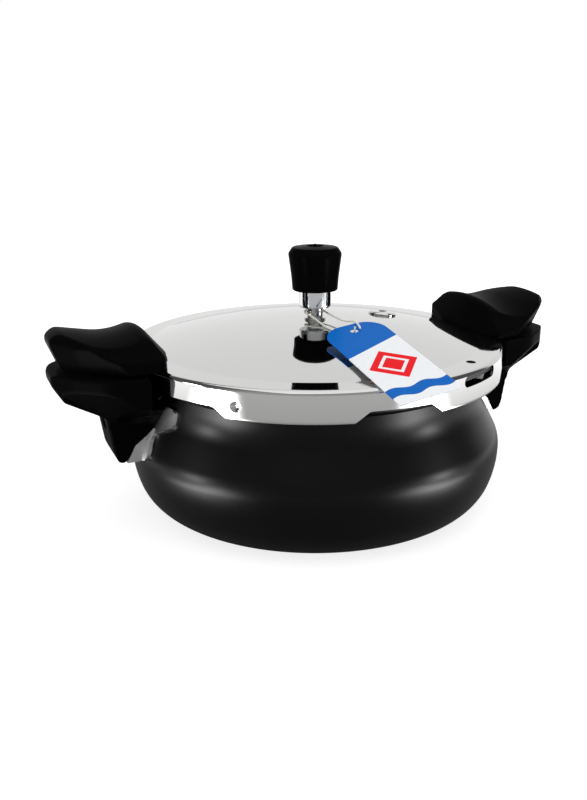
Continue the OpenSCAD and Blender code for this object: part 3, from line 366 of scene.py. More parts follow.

# %% [markdown]
# ## Lugs that repeat round the rim
# The pot's locking lugs are six equal tabs. A second tree repeats one tab round the axis: it places one instance for
# each lug at the axis and turns each by its share of a full turn, then makes the instances real.

# %% One lug, and the tree that repeats it
def repeating_tree():
    tree = bpy.data.node_groups.new("piece repeated round the axis", "GeometryNodeTree")
    for name, kind in (("Piece", "Geometry"), ("Count", "Int"), ("First angle", "Float"), ("Finish", "Material")):
        tree.interface.new_socket(name, in_out="INPUT", socket_type="NodeSocket" + kind)
    tree.interface.new_socket("Ring of pieces", in_out="OUTPUT", socket_type="NodeSocketGeometry")
    given = add(tree, "NodeGroupInput")
    points = add(tree, "GeometryNodePoints", links={"Count": given.outputs["Count"]})
    index = add(tree, "GeometryNodeInputIndex")
    share = add(tree, "ShaderNodeMath", links={0: index.outputs[0], 1: given.outputs["Count"]}, operation="DIVIDE")
    turn = add(tree, "ShaderNodeMath", {1: 2 * math.pi}, {0: share.outputs[0], 2: given.outputs["First angle"]},
               operation="MULTIPLY_ADD")
    rotation = add(tree, "ShaderNodeCombineXYZ", links={"Z": turn.outputs[0]})
    placed = add(tree, "GeometryNodeInstanceOnPoints", links={
        "Points": points.outputs[0], "Instance": given.outputs["Piece"], "Rotation": rotation.outputs[0]})
    real = add(tree, "GeometryNodeRealizeInstances", links={0: placed.outputs[0]})
    finish = add(tree, "GeometryNodeSetMaterial", links={"Geometry": real.outputs[0],
                                                         "Material": given.outputs["Finish"]})
    add(tree, "NodeGroupOutput", links={0: finish.outputs[0]})
    return tree


REPEATING = repeating_tree()


def sector(name, section, half_angle, steps):
    rings = [[(r * MM * math.cos(a), r * MM * math.sin(a), z * MM) for r, z in section]
             for a in np.linspace(-half_angle, half_angle, steps)]
    n = len(section)
    faces = [(i * n + j, i * n + (j + 1) % n, (i + 1) * n + (j + 1) % n, (i + 1) * n + j)
             for i in range(steps - 1) for j in range(n)]
    faces += [tuple(range(n))[::-1], tuple((steps - 1) * n + j for j in range(n))]
    mesh = bpy.data.meshes.new(name)
    mesh.from_pydata([p for ring in rings for p in ring], [], faces)
    return mesh


lug_top = POT_LUG_Z + POT_LUG_T
lug_section = ([(NECK_R + 0.5, POT_LUG_Z)] + arc(POT_LUG_R - 1.2, POT_LUG_Z + 1.2, 1.2, -90, 0, 5)
               + arc(POT_LUG_R - 1.2, lug_top - 1.2, 1.2, 0, 90, 5) + [(NECK_R + 0.5, lug_top)])
lug_mesh = sector("pot lug", lug_section, math.radians(POT_LUG_ARC / 2), 24)
pot_lugs = grow("pot_lugs", lug_mesh, REPEATING, Count=LUG_COUNT, First_angle=0.0, Finish=anodised)

# %% Pot body and lugs, one piece
def join(name, *parts):
    work = bmesh.new()
    for part in parts:
        work.from_mesh(part.data)
    mesh = bpy.data.meshes.new(name)
    work.to_mesh(mesh)
    work.free()
    mesh.materials.append(parts[0].data.materials[0])
    for part in parts:
        bpy.data.objects.remove(part)
    mesh.shade_smooth()
    mesh.set_sharp_from_angle(angle=math.radians(SHARP))
    return put(name, mesh)


def take_place(piece, body, slot, *nodes):
    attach(piece, body)
    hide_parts(*nodes)
    return piece


pot = take_place(join("pot_of_anodised_aluminium", pot_body, pot_lugs), "pot", "anodised_pot", "pot_shell")
print("pot stands", round(max(v.co.z for v in pot.data.vertices) / MM, 1), "mm high")

# %% [markdown]
# ## The lid
# The lid is pressed from 1.5 mm sheet: a shallow dome, a ring that falls 0.6 mm outwards, about 3 degrees, and a
# skirt that is cut into six lugs with lips turned in under the rim. So slight a fall moves what the ring mirrors a
# long way. The lid starts as a turned piece with the lips all round. The small stop dimple is pushed into the skirt,
# where its patch of mesh is made finer. Then one boolean cuts the gaps between the lugs, the holes, and the slot
# that lets the seal burst out if the pressure climbs.

# %% Sizes of the lid
LID_R, LID_WALL, EDGE_R, LID_Z, APEX_Z = 113.6, 1.5, 2.6, 100.5, 112.8
DOME_R, SEAT_R, LUG_Z, SKIRT_DEPTH, LIP_R = LID_R - 13.8, 8.5, 82.2, 11.7, 104.7
DOME_RISE = APEX_Z - LID_Z
DOME_SPHERE_R = ((DOME_R - SEAT_R) ** 2 + DOME_RISE ** 2) / (2 * DOME_RISE)
RING_FALL = 0.6
SOFT_RISE = DOME_RISE - RING_FALL
SOFT_SPHERE_R = ((DOME_R - SEAT_R) ** 2 + SOFT_RISE ** 2) / (2 * SOFT_RISE)
DOME_A = math.degrees(math.asin((DOME_R - SEAT_R) / SOFT_SPHERE_R))
print(f"dome radius {SOFT_SPHERE_R:.0f} mm over {2 * DOME_A:.1f} degrees")


def lid_line(d):
    return ([(0, APEX_Z - d)] + arc(SEAT_R, APEX_Z - SOFT_SPHERE_R, SOFT_SPHERE_R - d, 90, 90 - DOME_A, 44)
            + [(DOME_R + 0.6, LID_Z + RING_FALL - 0.05 - d), (LID_R - EDGE_R - 0.4, LID_Z + 0.03 - d)]
            + arc(LID_R - EDGE_R, LID_Z - EDGE_R, EDGE_R - d, 90, 0, 10))


skirt_out = [(LID_R, z) for z in np.linspace(LID_Z - EDGE_R - 1, LUG_Z + LID_WALL + 0.8, 13)]
skirt_in = [(LID_R - LID_WALL, z) for z in np.linspace(LUG_Z + LID_WALL + 0.8, LID_Z - EDGE_R - 1, 13)]
lid_outline = (lid_line(0) + skirt_out + arc(LID_R - LID_WALL, LUG_Z + LID_WALL, LID_WALL, 0, -90, 6)
               + [(LIP_R, LUG_Z), (LIP_R, LUG_Z + LID_WALL), (LID_R - LID_WALL, LUG_Z + LID_WALL)]
               + skirt_in + lid_line(LID_WALL)[::-1])
lid_blank = grow("lid_blank", outline_mesh("lid outline", lid_outline), TURNING, Steps_round=360,
                 Finish=polished_steel)

# %% Stop dimple, pushed into the skirt
def press_dimple(piece, turn, height, radius, depth):
    centre = Vector((LID_R * MM * math.cos(turn), LID_R * MM * math.sin(turn), height * MM))
    outwards = Vector((math.cos(turn), math.sin(turn), 0))
    work = bmesh.new()
    work.from_mesh(piece.data)
    for _ in range(3):
        near = [e for e in work.edges
                if all((v.co - centre).length < radius * MM * 1.6 and v.co.z < (LID_Z - 4) * MM for v in e.verts)]
        bmesh.ops.subdivide_edges(work, edges=near, cuts=1, use_grid_fill=True)
    for v in work.verts:
        across = (v.co - centre) - outwards * (v.co - centre).dot(outwards)
        if across.length < radius * MM and (v.co - centre).length < 3 * radius * MM:
            fall = 0.5 + 0.5 * math.cos(math.pi * across.length / (radius * MM))
            v.co -= outwards * depth * MM * fall ** 0.8
    work.to_mesh(piece.data)
    work.free()


press_dimple(lid_blank, math.radians(-134.3), LID_Z - 10.4, 3.1, 1.3)
print("dimple pressed; the blank has", len(lid_blank.data.polygons), "faces")

# %% Cutters for the gaps, the slot and the holes
def rounded(corners, steps=8):
    line, count = [], len(corners)
    for i, (x, y, r) in enumerate(corners):
        here = Vector((x, y))
        to_before = (Vector(corners[i - 1][:2]) - here).normalized()
        to_after = (Vector(corners[(i + 1) % count][:2]) - here).normalized()
        if r == 0:
            line.append((x, y))
            continue
        half = math.acos(max(-1, min(1, to_before.dot(to_after)))) / 2
        centre = here + (to_before + to_after).normalized() * r / math.sin(half)
        start = here + to_before * r / math.tan(half) - centre
        end = here + to_after * r / math.tan(half) - centre
        first = math.atan2(start.y, start.x)
        turn = math.atan2(start.cross(end), start.dot(end))
        line += [(centre.x + r * math.cos(first + turn * k / steps), centre.y + r * math.sin(first + turn * k / steps))
                 for k in range(steps + 1)]
    return line


def prism(outline, low, high, matrix):
    count = len(outline)
    points = [matrix @ (Vector((x, y, z)) * MM) for z in (low, high) for x, y in outline]
    faces = [tuple(range(count))[::-1], tuple(range(count, 2 * count))]
    faces += [(i, (i + 1) % count, count + (i + 1) % count, count + i) for i in range(count)]
    return points, faces


def outwards_through_skirt(turn, height):
    facing = Matrix(((0, 0, 1, 0), (1, 0, 0, 0), (0, 1, 0, 0), (0, 0, 0, 1)))
    return Matrix.Rotation(math.radians(turn), 4, "Z") @ Matrix.Translation((0, 0, height * MM)) @ facing


def circle(r, steps=64):
    return [(r * math.cos(2 * math.pi * i / steps), r * math.sin(2 * math.pi * i / steps)) for i in range(steps)]


SAFETY_TURN, SAFETY_DIST = 7.0, 49.5
SAFETY_A = math.asin((SAFETY_DIST - SEAT_R) / DOME_SPHERE_R)
SAFETY_Z = APEX_Z - DOME_SPHERE_R * (1 - math.cos(SAFETY_A))
AT_SAFETY = (Matrix.Rotation(math.radians(SAFETY_TURN), 4, "Z")
             @ Matrix.Translation((SAFETY_DIST * MM, 0, SAFETY_Z * MM)) @ Matrix.Rotation(SAFETY_A, 4, "Y"))

low, high = LID_R * math.sin(math.radians(13.5)), LID_R * math.sin(math.radians(9))
depth = LID_Z - SKIRT_DEPTH - LUG_Z
gap = rounded([(-low - 8, -3, 0), (low + 8, -3, 0), (low + 8, 0, 0), (low, 0, 3), (high, depth, 4),
               (-high, depth, 4), (-low, 0, 3), (-low - 8, 0, 0)], 8)
slot = rounded([(-17, -3.15, 3.05), (17, -3.15, 3.05), (17, 3.15, 3.05), (-17, 3.15, 3.05)], 10)
relief_at = Matrix.Rotation(math.radians(-57), 4, "Z") @ Matrix.Translation(((LID_R - 9.6) * MM, 0, LID_Z * MM))
cuts = [prism(gap, LIP_R - 4, LID_R + 5, outwards_through_skirt(30 + 60 * i, LUG_Z)) for i in range(LUG_COUNT)]
cuts.append(prism(slot, LID_R - 14, LID_R + 5, outwards_through_skirt(-60, LID_Z - 5.1)))
cuts.append(prism(circle(2.75), -3, 3, relief_at))
cuts.append(prism(circle(5.02), -6, 6, Matrix.Translation((0, 0, APEX_Z * MM))))
cuts.append(prism(circle(4.52), -5, 5, AT_SAFETY))

# %% Cutting the lid
def cut_with(piece, name, prisms):
    points, faces = [], []
    for p, f in prisms:
        faces += [tuple(i + len(points) for i in face) for face in f]
        points += p
    mesh = bpy.data.meshes.new("cutters")
    mesh.from_pydata(points, [], faces)
    cutter = settle("cutters", mesh)
    modifier = piece.modifiers.new("cut", "BOOLEAN")
    modifier.object, modifier.operation, modifier.solver = cutter, "DIFFERENCE", "EXACT"
    result = applied(piece, piece.data.materials[0], cutter)
    result.name = name
    result.shade_smooth()
    result.set_sharp_from_angle(angle=math.radians(SHARP))
    print(f"{name}: {len(result.polygons)} faces after cutting")
    return put(name, result)


take_place(cut_with(lid_blank, "lid_of_polished_steel", cuts), "lid", "polished_steel", "lid_shell")

# %% [markdown]
# ## Weight, vent tube and safety valve
# The weight is a chromed body with steam slots, pushed into a black moulded cap. It hangs loosely on the vent tube,
# whose shoulder bolts through the lid. The safety valve beside it is a low turned head with a plug of soft alloy.
# All of them are turned pieces; the slots are cut afterwards.

# %% Weight and cap
WEIGHT_Z, CAP_Z, CAP_TOP, STEM_TOP = 120.5, 130.8, 158.3, 129.3
BODY_TOP, PIN_TOP = CAP_TOP - 8, STEM_TOP + 9
body_outline = [(0, BODY_TOP), (9.2, BODY_TOP), (9.4, BODY_TOP - 0.2), (9.4, BODY_TOP - 1.2), (10, BODY_TOP - 1.2),
                (10, WEIGHT_Z + 1), (9.8, WEIGHT_Z + 0.8), (9.4, WEIGHT_Z + 0.8), (9.4, WEIGHT_Z + 0.2),
                (9.2, WEIGHT_Z), (6.5, WEIGHT_Z), (5.3, WEIGHT_Z + 1.2), (5.3, STEM_TOP + 0.3),
                (2.05, STEM_TOP + 0.3), (2.05, PIN_TOP + 0.3), (0, PIN_TOP + 0.3)]
weight_blank = grow("weight_blank", outline_mesh("weight outline", body_outline), TURNING, Steps_round=128,
                    Finish=chrome)
steam_slot = rounded([(-1.6, 1.8, 0), (1.6, 1.8, 0), (1.6, 11.1, 0), (-1.6, 11.1, 0)])
slot_cuts = [prism(steam_slot, 4.3, 14.3, outwards_through_skirt(26.7 + 90 * i, WEIGHT_Z)) for i in range(4)]
take_place(cut_with(weight_blank, "weight_body_chromed", slot_cuts), "weight", "weight_chrome", "weight_body")

cap_line = [(0, BODY_TOP + 0.02), (10.02, BODY_TOP + 0.02)]
cap_line += rounded([(10.02, CAP_Z, 0), (13.7, CAP_Z, 0.8), (14.3, CAP_Z + 8, 30), (16.1, CAP_Z + 22, 3),
                     (13.7, CAP_TOP - 2, 1.5), (3.2, CAP_TOP - 0.9, 2)], 12)
cap_line += arc(0, CAP_TOP - 1.6, 1.6, 20, 90, 10)
cap = grow("weight_cap_moulded", outline_mesh("cap outline", cap_line), TURNING, Steps_round=128, Finish=cap_plastic)
take_place(cap, "weight", "cap_plastic", "weight_cap")

# %% Vent tube and safety valve
tube_low = APEX_Z - LID_WALL - 1.4 - 5 - 1
tube_outline = [(1.5, tube_low), (4.6, tube_low), (5, tube_low + 0.4), (5, APEX_Z + 0.02), (6.4, APEX_Z + 0.02),
                (6.6, APEX_Z + 0.22), (6.6, APEX_Z + 1.12), (6.4, APEX_Z + 1.32), (5, APEX_Z + 1.32),
                (5, STEM_TOP - 0.3), (4.7, STEM_TOP), (2.6, STEM_TOP), (1.5, STEM_TOP - 1.6), (1.5, tube_low)]
vent = grow("vent_tube_turned", outline_mesh("tube outline", tube_outline), TURNING, Steps_round=96,
            Finish=polished_steel)
take_place(vent, "lid", "polished_steel", "vent_tube")

shank = LID_WALL + 1.2 + 4 + 1.2
valve_outline = [(2.4, -shank), (4.2, -shank), (4.5, -shank + 0.3), (4.5, 0.04), (8.5, 0.04), (8.7, 0.24),
                 (8.7, 0.92), (8.5, 1.12), (7.62, 1.84), (7.3, 1.92), (2.6, 1.92), (2.4, 1.72), (2.4, -shank)]
valve = grow("safety_valve_turned", outline_mesh("valve outline", valve_outline), TURNING, Steps_round=96,
             Finish=polished_steel)
plug_outline = [(0, -6.7), (2.38, -6.7), (2.38, 2.1), (2.1, 2.3), (0.96, 2.3), (0.96, 1.8), (0, 1.8)]
plug = grow("fusible_plug_cast", outline_mesh("plug outline", plug_outline), TURNING, Steps_round=64,
            Finish=fuse_alloy)
for piece, slot_name, node in ((valve, "polished_steel", "safety_valve_body"), (plug, "fuse_metal", "fusible_plug")):
    piece.data.transform(AT_SAFETY)
    take_place(piece, "lid", slot_name, node)

# %% [markdown]
# ## Sealing ring
# The ring lies loose under the lid and rides on the pot's rim. Only a strip of it shows, through the slot. It is a
# turned piece too, with a groove all round its inner edge that lets the steam press its two lips apart.

# %% Gasket
SEAL_LOW, SEAL_T, SEAL_OUT = POT_H + 0.1, 4.1, LID_R - LID_WALL - 0.3
SEAL_IN, seal_mid = SEAL_OUT - 13.3, SEAL_LOW + 2.05
seal_outline = rounded([(SEAL_IN, seal_mid + 0.6, 0), (SEAL_IN, SEAL_LOW + SEAL_T, 0.5),
                        (SEAL_OUT, SEAL_LOW + SEAL_T, 1), (SEAL_OUT, SEAL_LOW, 1), (SEAL_IN, SEAL_LOW, 0.5),
                        (SEAL_IN, seal_mid - 0.6, 0)], 6) + arc(SEAL_IN + 5.3, seal_mid, 0.6, -90, 90, 6)
seal = grow("sealing_ring", outline_mesh("seal outline", seal_outline + seal_outline[:1]), TURNING,
            Steps_round=180, Finish=seal_rubber)
take_place(seal, "seal", "seal_rubber", "gasket")

# %% [markdown]
# ## Handles
# The four handles are thick mouldings with soft edges everywhere. The exact solids have the right form but crisp
# edges, so each is copied, closed up by a voxel remesh, and its edges are worn round by smoothing the mesh a
# measured number of times. Smoothing only pulls the surface in, so the handle never grows out of its solid.

# %% Moulded handles
def soften(node, name, material, voxel=0.0008, rounds=6):
    mesh = NODES[node].data.copy()
    work = bmesh.new()
    work.from_mesh(mesh)
    bmesh.ops.remove_doubles(work, verts=work.verts, dist=2e-6)
    work.to_mesh(mesh)
    work.free()
    source = put(name + "_start", mesh)
    remesh = source.modifiers.new("closed", "REMESH")
    remesh.mode, remesh.voxel_size, remesh.adaptivity = "VOXEL", voxel, 0
    wear = source.modifiers.new("rounded", "SMOOTH")
    wear.factor, wear.iterations = 0.5, rounds
    result = applied(source, material)
    result.shade_smooth()
    print(f"{name}: {len(result.polygons)} faces")
    return put(name, result)


for side in ("left", "right"):
    for level, body in (("pot", "pot"), ("lid", "lid")):
        node = f"{level}_handle_{side}"
        take_place(soften(node, f"{level}_handle_{side}_moulded", bakelite), body, "bakelite", node)

# %% [markdown]
# ## String and tag
# The tag hangs on a loop of three-strand cotton. The string's line is a smooth curve through the points of
# its route, the same as in the exact model. Its section is three strands lying together, and it turns as it goes
# along, one full turn in about 5 mm, which is what makes it read as twisted and not as wire.

# %% The string's route
STRING_D = 1.2
ROUTE = [
    (4.4, -53.6, 117.5), (5, -50.9, 118.4), (5.6, -46.4, 119.2), (6.3, -40.4, 118.8),
    (6.7, -32.4, 117.2), (6.7, -24.4, 116.2), (6.6, -16.4, 116.2), (6.3, -8.3, 116.6),
    (6.1, -3.3, 116.9), (6.1, 1.3, 117.2), (4.4, 4.5, 117.4), (0.9, 6.2, 117.5),
    (-2.9, 5.6, 117.4), (-5.7, 2.7, 117.2), (-6.3, -1.3, 116.9), (-5.7, -5.7, 116.4),
    (-4.8, -11.8, 115.2), (-4, -18.8, 113.9), (-3.2, -26.9, 113), (-2.4, -34.9, 112.5),
    (-1.4, -42, 112.3), (0, -47.4, 112.3), (1.2, -50.7, 113.4), (1.7, -51.9, 115.4),
    (1.8, -52.1, 117.2), (1.9, -52.3, 118.4)]


def smooth_line(points, steps):
    p = [np.array(q, float) for q in points]
    last, line = len(p) - 1, []
    for i in range(last):
        a, b, c, d = p[max(0, i - 1)], p[i], p[i + 1], p[min(last, i + 2)]
        for t in np.arange(steps) / steps:
            line.append(0.5 * (2 * b + (c - a) * t + (2 * a - 5 * b + 4 * c - d) * t ** 2
                               + (3 * b - a - 3 * c + d) * t ** 3))
    return np.array(line + [p[last]])


string_line = smooth_line(ROUTE, 8) * MM

# %% Cotton, and the twisted section carried along the route
cotton, tree, shader = new_material("cotton cord, three strands twisted", Roughness=0.85)
shader.inputs["Sheen Weight"].default_value = 0.3
coords = add(tree, "ShaderNodeTexCoord")
fibre = add(tree, "ShaderNodeTexNoise", {"Scale": 2500.0, "Detail": 3.0}, {"Vector": coords.outputs["Object"]})
tone = add(tree, "ShaderNodeMix", {6: linear("#d9d6cd"), 7: linear("#f6f4ee")}, {0: fibre.outputs["Fac"]},
           data_type="RGBA")
tree.links.new(tone.outputs[2], shader.inputs["Base Color"])
bump = add(tree, "ShaderNodeBump", {"Strength": 0.4, "Distance": 0.0001}, {"Height": fibre.outputs["Fac"]})
tree.links.new(bump.outputs[0], shader.inputs["Normal"])


def twisted_cord(name, line, radius, lay, sides=18):
    along = np.gradient(line, axis=0)
    along /= np.linalg.norm(along, axis=1)[:, None]
    across = np.cross(along[0], (0, 0, 1.0))
    across /= np.linalg.norm(across)
    walked, rings = 0.0, []
    for i, centre in enumerate(line):
        if i:
            walked += np.linalg.norm(centre - line[i - 1])
            across -= along[i] * across.dot(along[i])
            across /= np.linalg.norm(across)
        up = np.cross(along[i], across)
        turn = 2 * math.pi * walked / lay
        for k in range(sides):
            a = 2 * math.pi * k / sides
            r = radius * (0.8 + 0.2 * abs(math.cos(1.5 * (a - turn))))
            rings.append(centre + r * (math.cos(a) * across + math.sin(a) * up))
    count = len(line)
    faces = [(i * sides + k, i * sides + (k + 1) % sides, (i + 1) * sides + (k + 1) % sides, (i + 1) * sides + k)
             for i in range(count - 1) for k in range(sides)]
    faces += [tuple(range(sides))[::-1], tuple((count - 1) * sides + k for k in range(sides))]
    mesh = bpy.data.meshes.new(name)
    mesh.from_pydata([tuple(p) for p in rings], [], faces)
    mesh.materials.append(cotton)
    return settle(name, mesh, 180)


string = twisted_cord("tag_string_cotton", string_line, STRING_D / 2 * MM, 5 * MM)

# %% [markdown]
# ## Printed card
# The tag is stiff coated card with two colours of ink on white: a blue field across its head, a blue wave at its
# foot and a red lozenge between them. The shapes are worked out from the card's own UV map, which is laid out in
# millimetres, so that the print sits on the card however it hangs. The coating is kept nearly matt, so that the inks
# look as strong as they do in even light.

# %% Card and print
TAG_W, TAG_LEN, TAG_T, TAG_HOLE_AT = 36.0, 90.0, 0.6, 8.0
card, tree, shader = new_material("coated card, offset printed", Roughness=0.32)
shader.inputs["Specular IOR Level"].default_value = 0.05
uv = add(tree, "ShaderNodeUVMap", uv_map="millimetres")
spot = add(tree, "ShaderNodeSeparateXYZ", links={0: uv.outputs[0]})
u, v = spot.outputs["X"], spot.outputs["Y"]
slant = add(tree, "ShaderNodeVectorMath", {1: (0.34, 1, 0)}, {0: uv.outputs[0]}, operation="DOT_PRODUCT")
head = add(tree, "ShaderNodeMath", {1: 30.0}, {0: slant.outputs["Value"]}, operation="LESS_THAN")
angle = add(tree, "ShaderNodeMath", {1: 2 * math.pi / 18}, {0: u}, operation="MULTIPLY")
swing = add(tree, "ShaderNodeMath", links={0: angle.outputs[0]}, operation="SINE")
waved = add(tree, "ShaderNodeMath", {1: 1.3}, {0: swing.outputs[0], 2: v}, operation="MULTIPLY_ADD")
foot = add(tree, "ShaderNodeMath", {1: 79.0, 2: 4.0}, {0: waved.outputs[0]}, operation="COMPARE")
blue_area = add(tree, "ShaderNodeMath", links={0: head.outputs[0], 1: foot.outputs[0]}, operation="MAXIMUM")
from_middle = add(tree, "ShaderNodeMath", {1: 52.0}, {0: v}, operation="SUBTRACT")
down = add(tree, "ShaderNodeMath", links={0: from_middle.outputs[0]}, operation="ABSOLUTE")
aside = add(tree, "ShaderNodeMath", links={0: u}, operation="ABSOLUTE")
apart = add(tree, "ShaderNodeMath", {1: 0.9}, {0: down.outputs[0], 2: aside.outputs[0]}, operation="MULTIPLY_ADD")
filled = add(tree, "ShaderNodeMath", {1: 14.5}, {0: apart.outputs[0]}, operation="LESS_THAN")
line = add(tree, "ShaderNodeMath", {1: 8.2, 2: 1.2}, {0: apart.outputs[0]}, operation="COMPARE")
red_area = add(tree, "ShaderNodeMath", links={0: filled.outputs[0], 1: line.outputs[0]}, operation="SUBTRACT")
stock = add(tree, "ShaderNodeTexNoise", {"Scale": 0.4, "Detail": 4.0}, {"Vector": uv.outputs[0]})
paper = add(tree, "ShaderNodeMix", {6: linear("#eef1f5"), 7: linear("#f7f9fc")}, {0: stock.outputs["Fac"]},
            data_type="RGBA")
blue_ink = add(tree, "ShaderNodeMix", {7: linear("#0066c0")}, {0: blue_area.outputs[0], 6: paper.outputs[2]},
               data_type="RGBA")
red_ink = add(tree, "ShaderNodeMix", {7: linear("#ee1420")}, {0: red_area.outputs[0], 6: blue_ink.outputs[2]},
              data_type="RGBA")
tree.links.new(red_ink.outputs[2], shader.inputs["Base Color"])
board_bump = add(tree, "ShaderNodeBump", {"Strength": 0.02, "Distance": 0.01}, {"Height": stock.outputs["Fac"]})
tree.links.new(board_bump.outputs[0], shader.inputs["Normal"])

# %% Cutting the card out
TAG_AT, TAG_TURN, TAG_SLOPE, TAG_TILT = (1.2, -44.1, 117.2), 3, 11.5, -8
AT_TAG = (Matrix.Translation(Vector(TAG_AT) * MM) @ Matrix.Rotation(math.radians(TAG_TURN), 4, "Z")
          @ Matrix.Rotation(math.radians(TAG_SLOPE), 4, "X") @ Matrix.Rotation(math.radians(TAG_TILT), 4, "Y"))
card_line = rounded([(-TAG_W / 2, 0, 13), (-TAG_W / 2, -TAG_LEN, 1), (TAG_W / 2, -TAG_LEN, 1), (TAG_W / 2, 0, 13)], 14)
hole_line = [(x, y - TAG_HOLE_AT) for x, y in circle(2.4, 40)][::-1]
work = bmesh.new()
loops = []
for line in (card_line, hole_line):
    verts = [work.verts.new((x * MM, y * MM, 0)) for x, y in line]
    loops += [work.edges.new((verts[i], verts[(i + 1) % len(verts)])) for i in range(len(verts))]
bmesh.ops.triangle_fill(work, edges=loops, use_beauty=True)
bmesh.ops.dissolve_limit(work, angle_limit=0.01, verts=work.verts, edges=work.edges)
top = bmesh.ops.extrude_face_region(work, geom=list(work.faces))
bmesh.ops.translate(work, verts=[g for g in top["geom"] if isinstance(g, bmesh.types.BMVert)],
                    vec=(0, 0, TAG_T * MM))
bmesh.ops.recalc_face_normals(work, faces=work.faces)
layer = work.loops.layers.uv.new("millimetres")
for face in work.faces:
    for corner in face.loops:
        corner[layer].uv = (corner.vert.co.x / MM, -corner.vert.co.y / MM)
card_mesh = bpy.data.meshes.new("tag_card_printed")
work.to_mesh(card_mesh)
work.free()
card_mesh.transform(AT_TAG)
card_mesh.materials.append(card)
take_place(put("tag_card_printed", card_mesh), "lid", "tag_card", "hang_tag")
take_place(string, "lid", "white_string", "tag_string")

# %% [markdown]
# ## Pieces kept from the exact model
# The saddles, straps, screws, rivets, nuts and washers already have their right shape, so each keeps its mesh and
# only gets the finish of its metal or rubber.

# %% Finishes for the kept pieces
KEPT = {
    plain_steel: ("saddle_left", "saddle_right", "lid_strap_left", "lid_strap_right", "pot_handle_screws",
                  "lid_handle_screws"),
    plain_aluminium: ("saddle_rivets",), brass: ("vent_nut", "safety_nut"),
    valve_rubber: ("vent_washer", "safety_washer"), polished_steel: ("valve_pin",)}
for finish, nodes in KEPT.items():
    for node in nodes:
        mesh = NODES[node].data
        mesh.materials.clear()
        mesh.materials.append(finish)
print("kept", sum(len(n) for n in KEPT.values()), "pieces")

# %% [markdown]
# ## Floor and studio light
# The dark close to the pot is painted shade: there the table's glow in mirrors is turned down to stand in for the
# pot's shadow, which a glowing surface does not take.
# The cooker stands on a plain white table. Its black and its mirror-bright pieces show little but what they reflect,
# so the room is built from what a mirror would see. The wall behind the cooker is white, the side walls are dark and
# the wall in front is a soft grey. The table is white to the eye, but mirrors see it dark close to the pot and far
# out in front, which gives the lid's skirt its grey middle.
#
# Two soft lights stand left and right, and a wide one hangs above. Two narrow ones lie on the table, seen only in
# reflections: they make the ovals on the belly and the white ends of the skirt. Apart from the wide one, each lamp
# fades towards its edges, as a real softbox does, so that no highlight ends in a hard line.

# %% Floor
floor_mesh = bpy.data.meshes.new("floor")
floor_mesh.from_pydata([(-4, -4, 0), (4, -4, 0), (4, 4, 0), (-4, 4, 0)], [], [(0, 1, 2, 3)])
floor = put("floor", floor_mesh)
table = bpy.data.materials.new("white table")
table.use_nodes = True
tree = table.node_tree
tree.nodes.clear()
FRONT_AZIMUTH = math.radians(-24)
FRONT = (math.sin(FRONT_AZIMUTH), -math.cos(FRONT_AZIMUTH), 0)
coords = add(tree, "ShaderNodeTexCoord")
out = add(tree, "ShaderNodeVectorMath", {}, {0: coords.outputs["Object"]}, operation="LENGTH")
ahead = add(tree, "ShaderNodeVectorMath", {1: FRONT}, {0: coords.outputs["Object"]}, operation="DOT_PRODUCT")
white = add(tree, "ShaderNodeMapRange", {"From Min": 0.2, "From Max": 0.6, "To Min": 0.8, "To Max": 1.0},
            {"Value": out.outputs["Value"]})
sheet = add(tree, "ShaderNodeMapRange", {"From Min": 0.14, "From Max": 0.32, "To Min": 1.0, "To Max": 0.2},
            {"Value": ahead.outputs["Value"]}, interpolation_type="SMOOTHSTEP")
# Painted shade: close to the pot the table's glow seen in mirrors falls to nothing, standing in for the pot's shadow
# on the table.
under = add(tree, "ShaderNodeMapRange", {"From Min": 0.22, "From Max": 0.42, "To Min": 0.0, "To Max": 1.0},
            {"Value": out.outputs["Value"]})
behind = add(tree, "ShaderNodeMapRange", {"From Min": -0.7, "From Max": -0.25, "To Min": 0.5, "To Max": 1.0},
             {"Value": ahead.outputs["Value"]})
ground = add(tree, "ShaderNodeMath", links={0: sheet.outputs[0], 1: under.outputs[0]}, operation="MULTIPLY")
mirrored = add(tree, "ShaderNodeMath", links={0: ground.outputs[0], 1: behind.outputs[0]}, operation="MULTIPLY")
rays = add(tree, "ShaderNodeLightPath")
mirror = add(tree, "ShaderNodeMath", links={0: rays.outputs["Is Glossy Ray"], 1: rays.outputs["Is Transmission Ray"]},
             operation="MAXIMUM")
in_mirror = add(tree, "ShaderNodeMath", links={0: mirror.outputs[0], 1: mirrored.outputs[0]}, operation="MULTIPLY")
glow = add(tree, "ShaderNodeMath", links={0: rays.outputs["Is Camera Ray"], 1: white.outputs[0],
                                          2: in_mirror.outputs[0]}, operation="MULTIPLY_ADD")
paint = add(tree, "ShaderNodeBsdfDiffuse", {"Color": (0.4, 0.4, 0.4, 1)})
lift = add(tree, "ShaderNodeEmission", {"Color": (1, 1, 1, 1)}, {"Strength": glow.outputs[0]})
both = add(tree, "ShaderNodeAddShader", links={0: paint.outputs[0], 1: lift.outputs[0]})
add(tree, "ShaderNodeOutputMaterial", links={"Surface": both.outputs[0]})
floor_mesh.materials.append(table)

